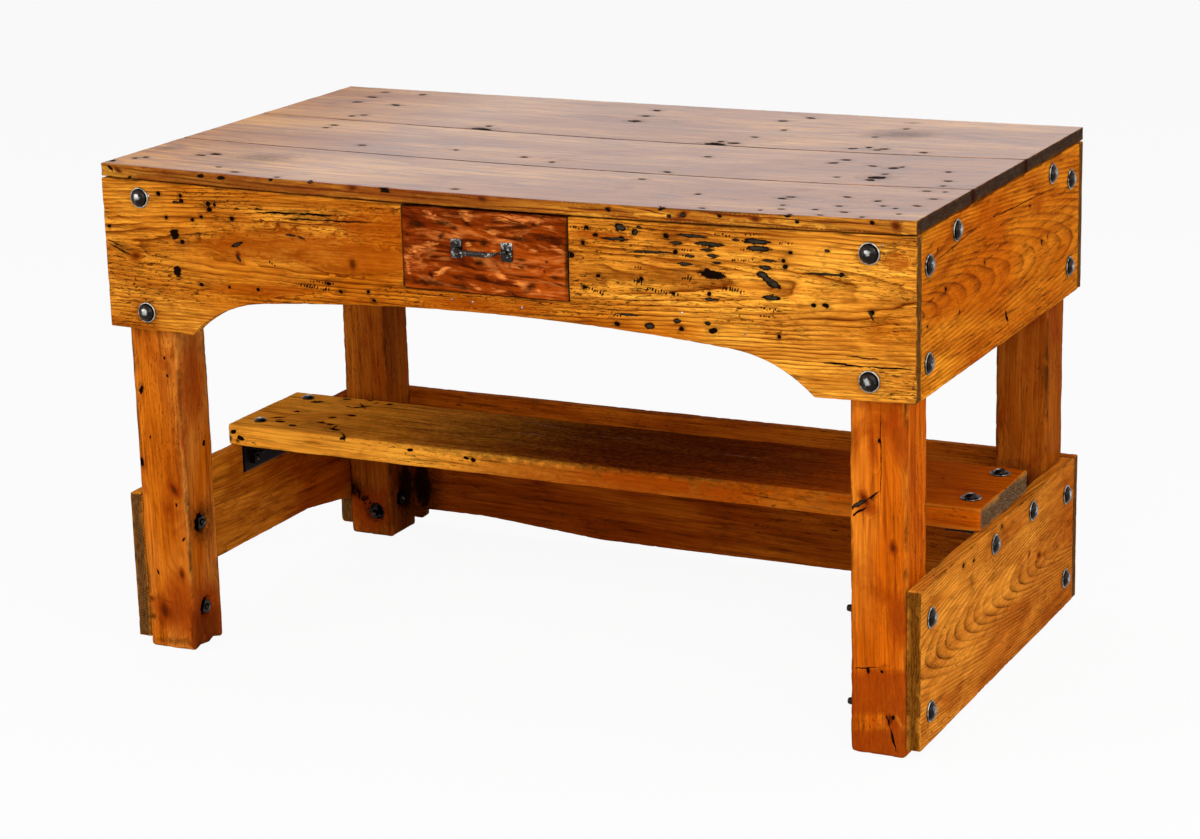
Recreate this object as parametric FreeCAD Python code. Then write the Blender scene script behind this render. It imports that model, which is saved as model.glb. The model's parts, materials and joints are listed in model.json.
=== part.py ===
import FreeCAD, Part
import math
import os

Vector = FreeCAD.Vector

# A heavy pine workbench, in millimetres. X runs along the front from left to right,
# Y from front to back and Z up from the floor. The origin is on the floor, under the
# middle of the whole bench with its bolt heads and drawer pull.

# Overall sizes
bench_width = 1524.0
bench_depth = 870.0
bench_height = 905.0

# Worktop of three planks laid lengthwise
plank_thickness = 23.0
front_plank_width = 263.0
rear_plank_width = 332.0
plank_seam = 1.5
plank_arris = 1.6
shadow_gap = 2.5

# Aprons
apron_height = 270.0
end_apron_thickness = 24.0
side_board_thickness = 22.0
board_arris = 1.5

# Arch under the front apron, with a flat crown arc and a tighter arc at each end
apron_end_length = 173.0
end_arc_run = 144.5
arch_rise = 94.0
crown_rise = 24.0

# Posts
post_width = 97.0
post_depth = 94.5
post_rounding = 5.0

# Lower boards round both ends and the back
lower_board_height = 276.0
lower_board_clearance = 16.0
end_board_thickness = 25.0

# Cut-out under the left end board, between a foot at each end
left_foot_length = 92.0
left_foot_rounding = 16.0
cutout_rise = 82.0
shoulder_rise = 59.5
shoulder_length = 164.0
cutout_rounding = 10.0

# Shallow hollow in the back board's lower edge, at the left
hollow_start = 143.0
hollow_rise = 20.0
hollow_flat = 148.0
hollow_slope = 260.0
hollow_rounding = 8.0

# Foot shelf on top of the end boards, a little behind the middle of the bench
shelf_thickness = 42.0
shelf_width = 254.0
shelf_offset = 46.0
shelf_right_step = 12.0
shelf_rounding = 5.0
shelf_corner_rounding = 9.0
left_shelf_bolt_front = 41.0
left_shelf_bolt_rear = 37.0
right_shelf_bolt_front = 54.0
right_shelf_bolt_rear = 42.0

# Steel angles that tie the shelf to the end boards
bracket_leg = 55.0
bracket_thickness = 5.0
bracket_length = 266.0
bracket_root_rounding = 4.0
bracket_offset = 60.0
bracket_bolt_inset = 29.0
bracket_bolt_drop = 30.0
shelf_bolt_inset = 24.0

# Cleats under the worktop's ends
cleat_width = 38.0
cleat_height = 57.0
cleat_end_gap = 2.0
cleat_bolt_inset = 65.5

# Drawer
drawer_width = 310.0
drawer_front_height = 140.0
drawer_depth = 455.0
drawer_side_gap = 1.5
drawer_rise_gap = 1.0
drawer_top_gap = 3.0
drawer_side_thickness = 12.0
drawer_side_height = 128.0
drawer_rebate_depth = 14.0
drawer_back_height = 108.0
drawer_back_inset = 8.0
drawer_bottom_thickness = 6.0
drawer_groove_depth = 5.0
drawer_groove_play = 0.4
drawer_groove_height = 8.0
drawer_arris = 1.5

# Guides, runners and stops that carry the drawer
guide_thickness = 22.0
runner_width = 24.0
runner_height = 22.0
runner_play = 0.3
stop_length = 34.0
stop_height = 24.0
stop_play = 0.3

# Drawer pull
pull_spacing = 94.5
pull_offset = -4.0
pull_rise = 5.0
pull_plate_width = 21.5
pull_plate_height = 32.0
pull_plate_thickness = 2.6
pull_plate_rounding = 2.5
pull_bar_diameter = 7.6
pull_grip_diameter = 10.4
pull_grip_length = 52.0
pull_reach = 24.0
pull_bend_radius = 13.0
pull_screw_spacing = 20.0
pull_screw_diameter = 3.4
pull_screw_length = 17.0
pull_screw_head_diameter = 7.6
pull_screw_head_height = 2.2
pull_screw_play = 0.2

# Dome-headed bolts with washers and square nuts
bolt_diameter = 12.7
bolt_head_diameter = 27.0
bolt_head_height = 7.0
bolt_hole_play = 0.4
bolt_tail = 9.0
shelf_bolt_tail = 4.0
washer_diameter = 35.0
washer_thickness = 2.5
nut_width = 20.6
nut_height = 11.0
nut_turn_step = 27.0
pocket_diameter = 39.0
pocket_depth = 15.0

# Where the bolts go through the posts, from the posts' middles and the boards' edges
front_bolt_offset = 6.5
apron_bolt_top_drop = 32.0
apron_bolt_bottom_rise = 31.0
front_end_bolt_lead = 16.0
rear_end_bolt_lead = 5.5
end_bolt_step = 24.0
lower_bolt_top_drop = 58.0
lower_bolt_bottom_rise = 56.0

# Every cut runs this far past the face that it opens
overrun = 1.0

# Heights
worktop_underside = bench_height - plank_thickness
apron_top = worktop_underside - shadow_gap
apron_bottom = apron_top - apron_height
lower_board_bottom = lower_board_clearance
lower_board_top = lower_board_bottom + lower_board_height
shelf_top = lower_board_top + shelf_thickness

# Planes across the bench, from front to back
washer_and_head = washer_thickness + bolt_head_height
pull_projection = pull_reach + pull_grip_diameter / 2
front_face = (pull_projection - bench_depth - washer_and_head) / 2
rear_face = front_face + bench_depth
front_post_face = front_face + side_board_thickness
rear_post_face = rear_face - side_board_thickness
front_post_back = front_post_face + post_depth
rear_post_front = rear_post_face - post_depth
front_post_middle = front_post_face + post_depth / 2
rear_post_middle = rear_post_face - post_depth / 2
bench_middle = (front_face + rear_face) / 2
shelf_front = bench_middle + shelf_offset - shelf_width / 2
shelf_rear = shelf_front + shelf_width
bracket_front = bench_middle + bracket_offset - bracket_length / 2
bracket_rear = bracket_front + bracket_length
cleat_front = front_post_back + cleat_end_gap
cleat_rear = rear_post_front - cleat_end_gap

# Planes along the bench, from the middle to an end
half_width = bench_width / 2
post_outer = half_width - end_apron_thickness
post_inner = post_outer - post_width
end_board_outer = post_outer + end_board_thickness
arch_half_span = half_width - apron_end_length
crown_half_span = arch_half_span - end_arc_run

# Drawer planes
opening_half_width = drawer_width / 2 + drawer_side_gap
drawer_top = apron_top - drawer_top_gap
drawer_floor = drawer_top - drawer_front_height
opening_bottom = drawer_floor - drawer_rise_gap
drawer_rear = front_face + drawer_depth
runner_top = drawer_floor - runner_play
panel_bottom = drawer_floor + drawer_groove_height
panel_top = panel_bottom + drawer_bottom_thickness
pull_height = (drawer_floor + drawer_top) / 2 + pull_rise

X_AXIS = Vector(1, 0, 0)
Y_AXIS = Vector(0, 1, 0)
Z_AXIS = Vector(0, 0, 1)
ORIGIN = Vector(0, 0, 0)


def block(low, high):
    """A rectangular solid between two opposite corners."""
    size = high - low
    return Part.makeBox(size.x, size.y, size.z, low)


def eased(solid, arris):
    """The solid with every edge broken by a small chamfer."""
    return solid.makeChamfer(arris, solid.Edges)


def corner_arc(before, corner, after, radius):
    """The arc that rounds one corner, as its start, middle and end."""
    to_before = (before - corner).normalize()
    to_after = (after - corner).normalize()
    half_turn = to_before.getAngle(to_after) / 2
    reach = radius / math.tan(half_turn)
    centre_way = (to_before + to_after).normalize()
    centre = corner + centre_way * (radius / math.sin(half_turn))
    return corner + to_before * reach, centre - centre_way * radius, corner + to_after * reach


def rounded_face(corners):
    """A flat face from (point, radius) corners, where a radius of zero stays sharp."""
    edges = []
    last = None
    first = None
    for index, (corner, radius) in enumerate(corners):
        before = corners[index - 1][0]
        after = corners[(index + 1) % len(corners)][0]
        if radius > 0:
            start, middle, end = corner_arc(before, corner, after, radius)
        else:
            start, middle, end = corner, None, corner
        if last is not None:
            edges.append(Part.makeLine(last, start))
        else:
            first = start
        if middle is not None:
            edges.append(Part.Arc(start, middle, end).toShape())
        last = end
    edges.append(Part.makeLine(last, first))
    return Part.Face(Part.Wire(edges))


def on_front(x, z):
    """A point of an outline that is drawn on the bench's front face."""
    return Vector(x, front_face, z)


def mirrored(solid):
    """The same piece on the other end of the bench."""
    return solid.mirror(ORIGIN, X_AXIS)


def save(name, shapes):
    """One STEP file for a sub-part, from one solid or a group of separate solids."""
    shape = shapes[0] if len(shapes) == 1 else Part.makeCompound(shapes)
    shape.exportStep("parts/" + name + ".step")


# Bolts


def dome_head(seat, outward):
    """The shallow dome of a bolt head, turned about the bolt's axis."""
    radius = bolt_head_diameter / 2
    rim = Vector(radius, 0, 0)
    crown = Vector(0, 0, bolt_head_height)
    sphere = (radius ** 2 + bolt_head_height ** 2) / (2 * bolt_head_height)
    half_angle = math.asin(radius / sphere) / 2
    middle = Vector(sphere * math.sin(half_angle), 0,
                    sphere * math.cos(half_angle) - sphere + bolt_head_height)
    arc = Part.Arc(rim, middle, crown).toShape()
    profile = Part.Face(Part.Wire([Part.makeLine(ORIGIN, rim), arc, Part.makeLine(crown, ORIGIN)]))
    dome = profile.revolve(ORIGIN, Z_AXIS, 360)
    dome.Placement = FreeCAD.Placement(seat, FreeCAD.Rotation(Z_AXIS, outward))
    return dome


def washer(seat, outward):
    """A flat washer that lies on a face at the seat."""
    hole = bolt_diameter / 2 + bolt_hole_play
    ring = Part.makeCylinder(washer_diameter / 2, washer_thickness, seat, outward)
    return ring.cut(Part.makeCylinder(hole, washer_thickness, seat, outward))


def square_nut(seat, outward, turn):
    """A square nut with the bolt's hole, turned about the bolt by an angle in degrees."""
    half = nut_width / 2
    body = block(Vector(-half, -half, 0), Vector(half, half, nut_height))
    body = body.cut(Part.makeCylinder(bolt_diameter / 2, nut_height))
    body.rotate(ORIGIN, Z_AXIS, turn)
    body.Placement = FreeCAD.Placement(seat, FreeCAD.Rotation(Z_AXIS, outward)) * body.Placement
    return body


class BoltRow:
    """Bolts of one length through the same boards, with all that goes on them.

    The seats are points on the outer face of the wood. The grip is the thickness that each
    bolt clamps, and a pocket, where the row has one, sinks the nut below the inner face.
    """

    def __init__(self, seats, inward, grip, pocket=0, head_washer=True, nut_washer=True,
                 tail=bolt_tail):
        outward = inward * -1
        self.bolts = []
        self.washers = []
        self.nuts = []
        self.cutters = []
        head_gap = washer_thickness if head_washer else 0
        nut_gap = washer_thickness if nut_washer else 0
        for index, seat in enumerate(seats):
            under_head = seat + outward * head_gap
            clamped = seat + inward * (grip - pocket)
            shank = Part.makeCylinder(bolt_diameter / 2, head_gap + grip + tail, under_head, inward)
            self.bolts.append(dome_head(under_head, outward).fuse(shank).removeSplitter())
            if head_washer:
                self.washers.append(washer(seat, outward))
            if nut_washer:
                self.washers.append(washer(clamped, inward))
            self.nuts.append(square_nut(clamped + inward * nut_gap, inward, nut_turn_step * index))
            hole = bolt_diameter / 2 + bolt_hole_play
            past = seat + outward * overrun
            self.cutters.append(Part.makeCylinder(hole, grip + 2 * overrun, past, inward))
            if pocket > 0:
                depth = pocket + overrun
                self.cutters.append(Part.makeCylinder(pocket_diameter / 2, depth, clamped, inward))


def mirror_row(row):
    """The same bolts on the other end of the bench."""
    copy = BoltRow([], X_AXIS, 0)
    copy.bolts = [mirrored(solid) for solid in row.bolts]
    copy.washers = [mirrored(solid) for solid in row.washers]
    copy.nuts = [mirrored(solid) for solid in row.nuts]
    copy.cutters = [mirrored(solid) for solid in row.cutters]
    return copy


front_bolt_x = (post_inner + post_outer) / 2 - front_bolt_offset
apron_bolt_heights = [apron_top - apron_bolt_top_drop, apron_bottom + apron_bolt_bottom_rise]
end_apron_bolt_heights = [apron_bolt_heights[0] - end_bolt_step,
                          apron_bolt_heights[1] + end_bolt_step]
lower_bolt_heights = [lower_board_top - lower_bolt_top_drop,
                      lower_board_bottom + lower_bolt_bottom_rise]
back_lower_bolt_heights = [lower_bolt_heights[0] + end_bolt_step,
                           lower_bolt_heights[1] - end_bolt_step]
end_bolt_lines = [front_post_middle - front_end_bolt_lead, rear_post_middle - rear_end_bolt_lead]
through_side = side_board_thickness + post_depth
through_end_apron = end_apron_thickness + post_width
through_end_board = end_board_thickness + post_width

bracket_bolt_lines = [bracket_front + bracket_bolt_inset, bracket_rear - bracket_bolt_inset]
bracket_bolt_height = lower_board_top - bracket_bolt_drop
left_shelf_bolt_lines = [shelf_front + left_shelf_bolt_front, shelf_rear - left_shelf_bolt_rear]
right_shelf_bolt_lines = [shelf_front + right_shelf_bolt_front, shelf_rear - right_shelf_bolt_rear]
shelf_bolt_x = post_outer - shelf_bolt_inset

cleat_bolt_lines = [cleat_front + cleat_bolt_inset, cleat_rear - cleat_bolt_inset]
cleat_bolt_height = worktop_underside - cleat_height / 2


def grid(places_a, places_b, point):
    """Points for every pair of places, made by the given function."""
    return [point(a, b) for a in places_a for b in places_b]


both_sides = [-front_bolt_x, front_bolt_x]
front_bolts = BoltRow(
    grid(both_sides, apron_bolt_heights, lambda x, z: Vector(x, front_face, z)),
    Y_AXIS, through_side, pocket_depth)
rear_bolts = BoltRow(
    grid(both_sides, apron_bolt_heights, lambda x, z: Vector(x, rear_face, z)),
    Y_AXIS * -1, through_side, pocket_depth)
right_apron_bolts = BoltRow(
    grid(end_bolt_lines, end_apron_bolt_heights, lambda y, z: Vector(half_width, y, z)),
    X_AXIS * -1, through_end_apron, pocket_depth)
right_cleat_bolts = BoltRow(
    [Vector(half_width, y, cleat_bolt_height) for y in cleat_bolt_lines],
    X_AXIS * -1, end_apron_thickness + cleat_width, tail=nut_height + bolt_tail)
right_lower_bolts = BoltRow(
    grid([front_post_middle, rear_post_middle], lower_bolt_heights,
         lambda y, z: Vector(end_board_outer, y, z)),
    X_AXIS * -1, through_end_board, pocket_depth)
back_lower_bolts = BoltRow(
    grid(both_sides, back_lower_bolt_heights, lambda x, z: Vector(x, rear_face, z)),
    Y_AXIS * -1, through_side, pocket_depth)
right_bracket_bolts = BoltRow(
    [Vector(end_board_outer, y, bracket_bolt_height) for y in bracket_bolt_lines],
    X_AXIS * -1, end_board_thickness + bracket_thickness,
    nut_washer=False, tail=nut_height + bolt_tail)
right_shelf_bolts = BoltRow(
    [Vector(shelf_bolt_x, y, shelf_top) for y in right_shelf_bolt_lines],
    Z_AXIS * -1, shelf_thickness + bracket_thickness,
    nut_washer=False, tail=nut_height + shelf_bolt_tail)
left_shelf_bolts = BoltRow(
    [Vector(-shelf_bolt_x, y, shelf_top) for y in left_shelf_bolt_lines],
    Z_AXIS * -1, shelf_thickness + bracket_thickness,
    head_washer=False, nut_washer=False, tail=nut_height + shelf_bolt_tail)
left_apron_bolts = mirror_row(right_apron_bolts)
left_cleat_bolts = mirror_row(right_cleat_bolts)
left_lower_bolts = mirror_row(right_lower_bolts)
left_bracket_bolts = mirror_row(right_bracket_bolts)

bolt_nodes = {
    "front_apron": [front_bolts],
    "rear_apron": [rear_bolts],
    "left_apron": [left_apron_bolts, left_cleat_bolts],
    "right_apron": [right_apron_bolts, right_cleat_bolts],
    "left_lower_board": [left_lower_bolts, left_bracket_bolts],
    "right_lower_board": [right_lower_bolts, right_bracket_bolts],
    "rear_lower_board": [back_lower_bolts],
    "foot_shelf": [left_shelf_bolts, right_shelf_bolts],
}
all_cutters = [cutter for rows in bolt_nodes.values() for row in rows for cutter in row.cutters]


def drilled(solid):
    """The piece with a hole for every bolt that passes through it."""
    near = [cutter for cutter in all_cutters if cutter.BoundBox.intersect(solid.BoundBox)]
    return solid.cut(near) if near else solid


# Worktop


def worktop_planks():
    """Three planks laid lengthwise, with a narrow seam between neighbours."""
    seam_front = front_face + front_plank_width
    seam_rear = rear_face - rear_plank_width
    spans = {
        "top_plank_front": (front_face, seam_front - plank_seam / 2),
        "top_plank_middle": (seam_front + plank_seam / 2, seam_rear - plank_seam / 2),
        "top_plank_rear": (seam_rear + plank_seam / 2, rear_face),
    }
    for name, (near, far) in spans.items():
        low = Vector(-half_width, near, worktop_underside)
        high = Vector(half_width, far, bench_height)
        save(name, [eased(block(low, high), plank_arris)])


def top_cleat():
    """A cleat inside the right apron, level with the post tops, that the planks lie on."""
    low = Vector(post_outer - cleat_width, cleat_front, worktop_underside - cleat_height)
    high = Vector(post_outer, cleat_rear, worktop_underside)
    return drilled(eased(block(low, high), board_arris))


# Aprons


def end_arc(start, tangent, end):
    """An arc that leaves the start along the tangent and reaches the end."""
    across = end - start
    normal = Vector(tangent.z, 0, -tangent.x)
    if normal.dot(across) < 0:
        normal = normal * -1
    radius = across.dot(across) / (2 * across.dot(normal))
    centre = start + normal * radius
    halfway = ((start - centre) + (end - centre)).normalize()
    return Part.Arc(start, centre + halfway * radius, end).toShape()


def arch_edges():
    """The arch from its left foot to its right foot, as three tangent arcs."""
    crown_foot = apron_bottom + arch_rise - crown_rise
    crown_radius = (crown_half_span ** 2 + crown_rise ** 2) / (2 * crown_rise)
    slope = math.asin(crown_half_span / crown_radius)
    left = on_front(-crown_half_span, crown_foot)
    right = on_front(crown_half_span, crown_foot)
    crown = Part.Arc(left, on_front(0, apron_bottom + arch_rise), right).toShape()
    left_way = Vector(-math.cos(slope), 0, -math.sin(slope))
    right_way = Vector(math.cos(slope), 0, -math.sin(slope))
    left_end = end_arc(left, left_way, on_front(-arch_half_span, apron_bottom))
    right_end = end_arc(right, right_way, on_front(arch_half_span, apron_bottom))
    return [left_end, crown, right_end]


def front_apron():
    """The front apron, with its arch below and the drawer's notch in its top edge."""
    outline = [
        on_front(arch_half_span, apron_bottom),
        on_front(half_width, apron_bottom),
        on_front(half_width, apron_top),
        on_front(opening_half_width, apron_top),
        on_front(opening_half_width, opening_bottom),
        on_front(-opening_half_width, opening_bottom),
        on_front(-opening_half_width, apron_top),
        on_front(-half_width, apron_top),
        on_front(-half_width, apron_bottom),
        on_front(-arch_half_span, apron_bottom),
    ]
    sides = [Part.makeLine(a, b) for a, b in zip(outline, outline[1:])]
    face = Part.Face(Part.Wire(Part.__sortEdges__(sides + arch_edges())))
    return drilled(eased(face.extrude(Y_AXIS * side_board_thickness), board_arris))


def rear_apron():
    """The plain board across the back, that overlaps the ends of both end aprons."""
    low = Vector(-half_width, rear_post_face, apron_bottom)
    high = Vector(half_width, rear_face, apron_top)
    return drilled(eased(block(low, high), board_arris))


def right_apron():
    """The apron on the right end, between the front and rear ones."""
    low = Vector(post_outer, front_post_face, apron_bottom)
    high = Vector(half_width, rear_post_face, apron_top)
    return drilled(eased(block(low, high), board_arris))


# Posts and lower boards


def right_post(near, far):
    """A square post with rounded arrises, from the floor to the planks."""
    corners = [
        Vector(post_inner, near, 0),
        Vector(post_outer, near, 0),
        Vector(post_outer, far, 0),
        Vector(post_inner, far, 0),
    ]
    face = rounded_face([(corner, post_rounding) for corner in corners])
    return face.extrude(Z_AXIS * worktop_underside)


def end_board_outline(x, corners):
    """An outline across an end board, from (y, z, radius) corners."""
    return rounded_face([(Vector(x, y, z), radius) for y, z, radius in corners])


def right_lower_board():
    """The plain board low on the right end, outside the posts."""
    low = Vector(post_outer, front_post_face, lower_board_bottom)
    high = Vector(end_board_outer, rear_post_face, lower_board_top)
    return drilled(eased(block(low, high), board_arris))


def left_lower_board():
    """The board low on the left end, cut away below so that it stands on two feet."""
    front_foot = front_post_face + left_foot_length
    rear_foot = rear_post_face - left_foot_length
    arch_top = lower_board_bottom + cutout_rise
    shoulder_top = lower_board_bottom + shoulder_rise
    corners = [
        (front_post_face, lower_board_top, 0),
        (front_post_face, lower_board_bottom, 0),
        (front_foot, lower_board_bottom, left_foot_rounding),
        (front_foot, arch_top, cutout_rounding),
        (rear_foot - shoulder_length, arch_top, cutout_rounding),
        (rear_foot, shoulder_top, cutout_rounding),
        (rear_foot, lower_board_bottom, left_foot_rounding),
        (rear_post_face, lower_board_bottom, 0),
        (rear_post_face, lower_board_top, 0),
    ]
    face = end_board_outline(-end_board_outer, corners)
    return drilled(face.extrude(X_AXIS * end_board_thickness))


def rear_lower_board():
    """The board low across the back, with a shallow hollow worked into its lower edge."""
    step = hollow_start - end_board_outer
    flat_end = step + hollow_flat
    slope_end = flat_end + hollow_slope
    corners = [
        (-end_board_outer, lower_board_top, 0),
        (-end_board_outer, lower_board_bottom, 0),
        (step, lower_board_bottom, hollow_rounding),
        (step, lower_board_bottom + hollow_rise, hollow_rounding),
        (flat_end, lower_board_bottom + hollow_rise, hollow_slope / 2),
        (slope_end, lower_board_bottom, hollow_slope / 2),
        (end_board_outer, lower_board_bottom, 0),
        (end_board_outer, lower_board_top, 0),
    ]
    face = rounded_face([(Vector(x, rear_post_face, z), radius) for x, z, radius in corners])
    return drilled(face.extrude(Y_AXIS * side_board_thickness))


# Foot shelf


def foot_shelf():
    """The thick plank across the end boards, with worn front arrises and left corner."""
    left = -end_board_outer
    right = end_board_outer - shelf_right_step
    corners = [
        (Vector(left, shelf_front, lower_board_top), shelf_corner_rounding),
        (Vector(right, shelf_front, lower_board_top), 0),
        (Vector(right, shelf_rear, lower_board_top), 0),
        (Vector(left, shelf_rear, lower_board_top), 0),
    ]
    plank = rounded_face(corners).extrude(Z_AXIS * shelf_thickness)
    front_edges = [edge for edge in plank.Edges if edge.BoundBox.YMax < shelf_front + board_arris]
    plank = plank.makeFillet(shelf_rounding, front_edges)
    return drilled(plank)


def right_bracket():
    """A rolled steel angle, with one leg on the end board and the other under the shelf."""
    outer = post_outer
    top = lower_board_top
    toe = outer - bracket_leg
    sole = top - bracket_leg
    inner = outer - bracket_thickness
    under = top - bracket_thickness
    corners = [
        (Vector(outer, bracket_front, top), 0),
        (Vector(outer, bracket_front, sole), 0),
        (Vector(inner, bracket_front, sole), bracket_root_rounding),
        (Vector(inner, bracket_front, under), bracket_root_rounding),
        (Vector(toe, bracket_front, under), bracket_root_rounding),
        (Vector(toe, bracket_front, top), 0),
    ]
    return rounded_face(corners).extrude(Y_AXIS * bracket_length)


# Drawer


def drawer_guide():
    """The board beside the drawer, from the front apron to the rear one, under the planks."""
    inner = opening_half_width
    low = Vector(inner, front_post_face, runner_top - runner_height)
    high = Vector(inner + guide_thickness, rear_post_face, worktop_underside)
    return eased(block(low, high), board_arris)


def drawer_runner():
    """The strip inside a guide that the drawer's side slides on."""
    inner = opening_half_width - runner_width
    low = Vector(inner, front_post_face, runner_top - runner_height)
    high = Vector(opening_half_width, rear_post_face, runner_top)
    return block(low, high)


def drawer_stop():
    """The block on a runner that the closed drawer comes up against."""
    inner = opening_half_width - runner_width
    near = drawer_rear + stop_play
    low = Vector(inner, near, runner_top)
    high = Vector(opening_half_width, near + stop_length, runner_top + stop_height)
    return eased(block(low, high), board_arris)


def pull_screw_points():
    """Where the pull's screws enter the drawer front."""
    places = []
    for side in (-1, 1):
        for level in (-1, 1):
            x = pull_offset + side * pull_spacing / 2
            places.append(Vector(x, front_face, pull_height + level * pull_screw_spacing / 2))
    return places


def drawer_front():
    """The inset front, rebated behind for the sides and grooved for the bottom."""
    half = drawer_width / 2
    back = front_face + side_board_thickness
    low = Vector(-half, front_face, drawer_floor)
    high = Vector(half, back, drawer_top)
    solid = eased(block(low, high), drawer_arris)
    cuts = []
    for side in (-1, 1):
        inner = side * (half - drawer_side_thickness)
        outer = side * (half + overrun)
        rebate_low = Vector(min(inner, outer), back - drawer_rebate_depth, drawer_floor - overrun)
        rebate_high = Vector(max(inner, outer), back + overrun, drawer_top + overrun)
        cuts.append(block(rebate_low, rebate_high))
    groove_half = half - drawer_side_thickness + overrun
    groove_low = Vector(-groove_half, back - drawer_groove_depth - drawer_groove_play, panel_bottom)
    groove_high = Vector(groove_half, back + overrun, panel_top + drawer_groove_play)
    cuts.append(block(groove_low, groove_high))
    pilot = pull_screw_diameter / 2
    for place in pull_screw_points():
        depth = pull_screw_length - pull_plate_thickness
        cuts.append(Part.makeCylinder(pilot, depth + overrun, place - Y_AXIS * overrun, Y_AXIS))
    return solid.cut(cuts)


def drawer_side():
    """The right side, grooved inside for the bottom."""
    outer = drawer_width / 2
    inner = outer - drawer_side_thickness
    near = front_face + side_board_thickness - drawer_rebate_depth
    low = Vector(inner, near, drawer_floor)
    high = Vector(outer, drawer_rear, drawer_floor + drawer_side_height)
    groove_low = Vector(inner - overrun, near - overrun, panel_bottom)
    groove_high = Vector(inner + drawer_groove_depth + drawer_groove_play, drawer_rear + overrun,
                         panel_top + drawer_groove_play)
    return block(low, high).cut(block(groove_low, groove_high))


def drawer_bottom():
    """The thin panel that slides into the grooves from the back."""
    half = drawer_width / 2 - drawer_side_thickness + drawer_groove_depth
    near = front_face + side_board_thickness - drawer_groove_depth
    low = Vector(-half, near, panel_bottom)
    high = Vector(half, drawer_rear - drawer_back_inset, panel_top)
    return block(low, high)


def drawer_back():
    """The back between the sides, standing on the bottom panel."""
    half = drawer_width / 2 - drawer_side_thickness
    far = drawer_rear - drawer_back_inset
    low = Vector(-half, far - drawer_side_thickness, panel_top)
    high = Vector(half, far, panel_top + drawer_back_height)
    return block(low, high)


def pull_plate(x):
    """One foot of the pull, with its two screw holes."""
    half_w = pull_plate_width / 2
    half_h = pull_plate_height / 2
    corners = [
        on_front(x - half_w, pull_height - half_h),
        on_front(x + half_w, pull_height - half_h),
        on_front(x + half_w, pull_height + half_h),
        on_front(x - half_w, pull_height + half_h),
    ]
    face = rounded_face([(corner, pull_plate_rounding) for corner in corners])
    return face.extrude(Y_AXIS * -pull_plate_thickness)


def drawer_pull():
    """A bow pull: a bent bar with a swelled grip, carried on two screwed plates."""
    left = pull_offset - pull_spacing / 2
    right = pull_offset + pull_spacing / 2
    out = front_face - pull_reach
    corners = [
        (Vector(left, out, pull_height), pull_bend_radius),
        (Vector(right, out, pull_height), pull_bend_radius),
    ]
    root_left = Vector(left, front_face, pull_height)
    root_right = Vector(right, front_face, pull_height)
    start_a, middle_a, end_a = corner_arc(root_left, corners[0][0], corners[1][0], pull_bend_radius)
    start_b, middle_b, end_b = corner_arc(corners[0][0], corners[1][0], root_right, pull_bend_radius)
    path = Part.Wire([
        Part.makeLine(root_left, start_a),
        Part.Arc(start_a, middle_a, end_a).toShape(),
        Part.makeLine(end_a, start_b),
        Part.Arc(start_b, middle_b, end_b).toShape(),
        Part.makeLine(end_b, root_right),
    ])
    ring = Part.Wire(Part.makeCircle(pull_bar_diameter / 2, root_left, Y_AXIS))
    bar = path.makePipeShell([ring], True, False)
    grip = pull_grip(out)
    plates = pull_plate(left).fuse(pull_plate(right))
    solid = plates.fuse([bar, grip]).removeSplitter()
    hole = pull_screw_diameter / 2 + pull_screw_play
    reach = pull_plate_thickness + 2 * overrun
    holes = [Part.makeCylinder(hole, reach, place + Y_AXIS * overrun, Y_AXIS * -1)
             for place in pull_screw_points()]
    return solid.cut(holes)


def pull_grip(out):
    """The swelled middle of the bar, turned about the bar's axis."""
    half = pull_grip_length / 2
    thin = pull_bar_diameter / 2
    thick = pull_grip_diameter / 2
    left = Vector(pull_offset - half, out, pull_height)
    right = Vector(pull_offset + half, out, pull_height)
    top_left = left + Z_AXIS * thin
    top_right = right + Z_AXIS * thin
    crest = Vector(pull_offset, out, pull_height + thick)
    swell = Part.Arc(top_left, crest, top_right).toShape()
    profile = Part.Face(Part.Wire([
        Part.makeLine(left, top_left), swell,
        Part.makeLine(top_right, right), Part.makeLine(right, left)]))
    return profile.revolve(left, X_AXIS, 360)


def pull_screws():
    """Four round-headed screws, through the plates into the drawer front."""
    screws = []
    for place in pull_screw_points():
        seat = place - Y_AXIS * pull_plate_thickness
        head = Part.makeCone(pull_screw_head_diameter / 2, pull_screw_head_diameter / 4,
                             pull_screw_head_height, seat, Y_AXIS * -1)
        shank = Part.makeCylinder(pull_screw_diameter / 2, pull_screw_length, seat, Y_AXIS)
        screws.append(head.fuse(shank).removeSplitter())
    return screws


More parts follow.
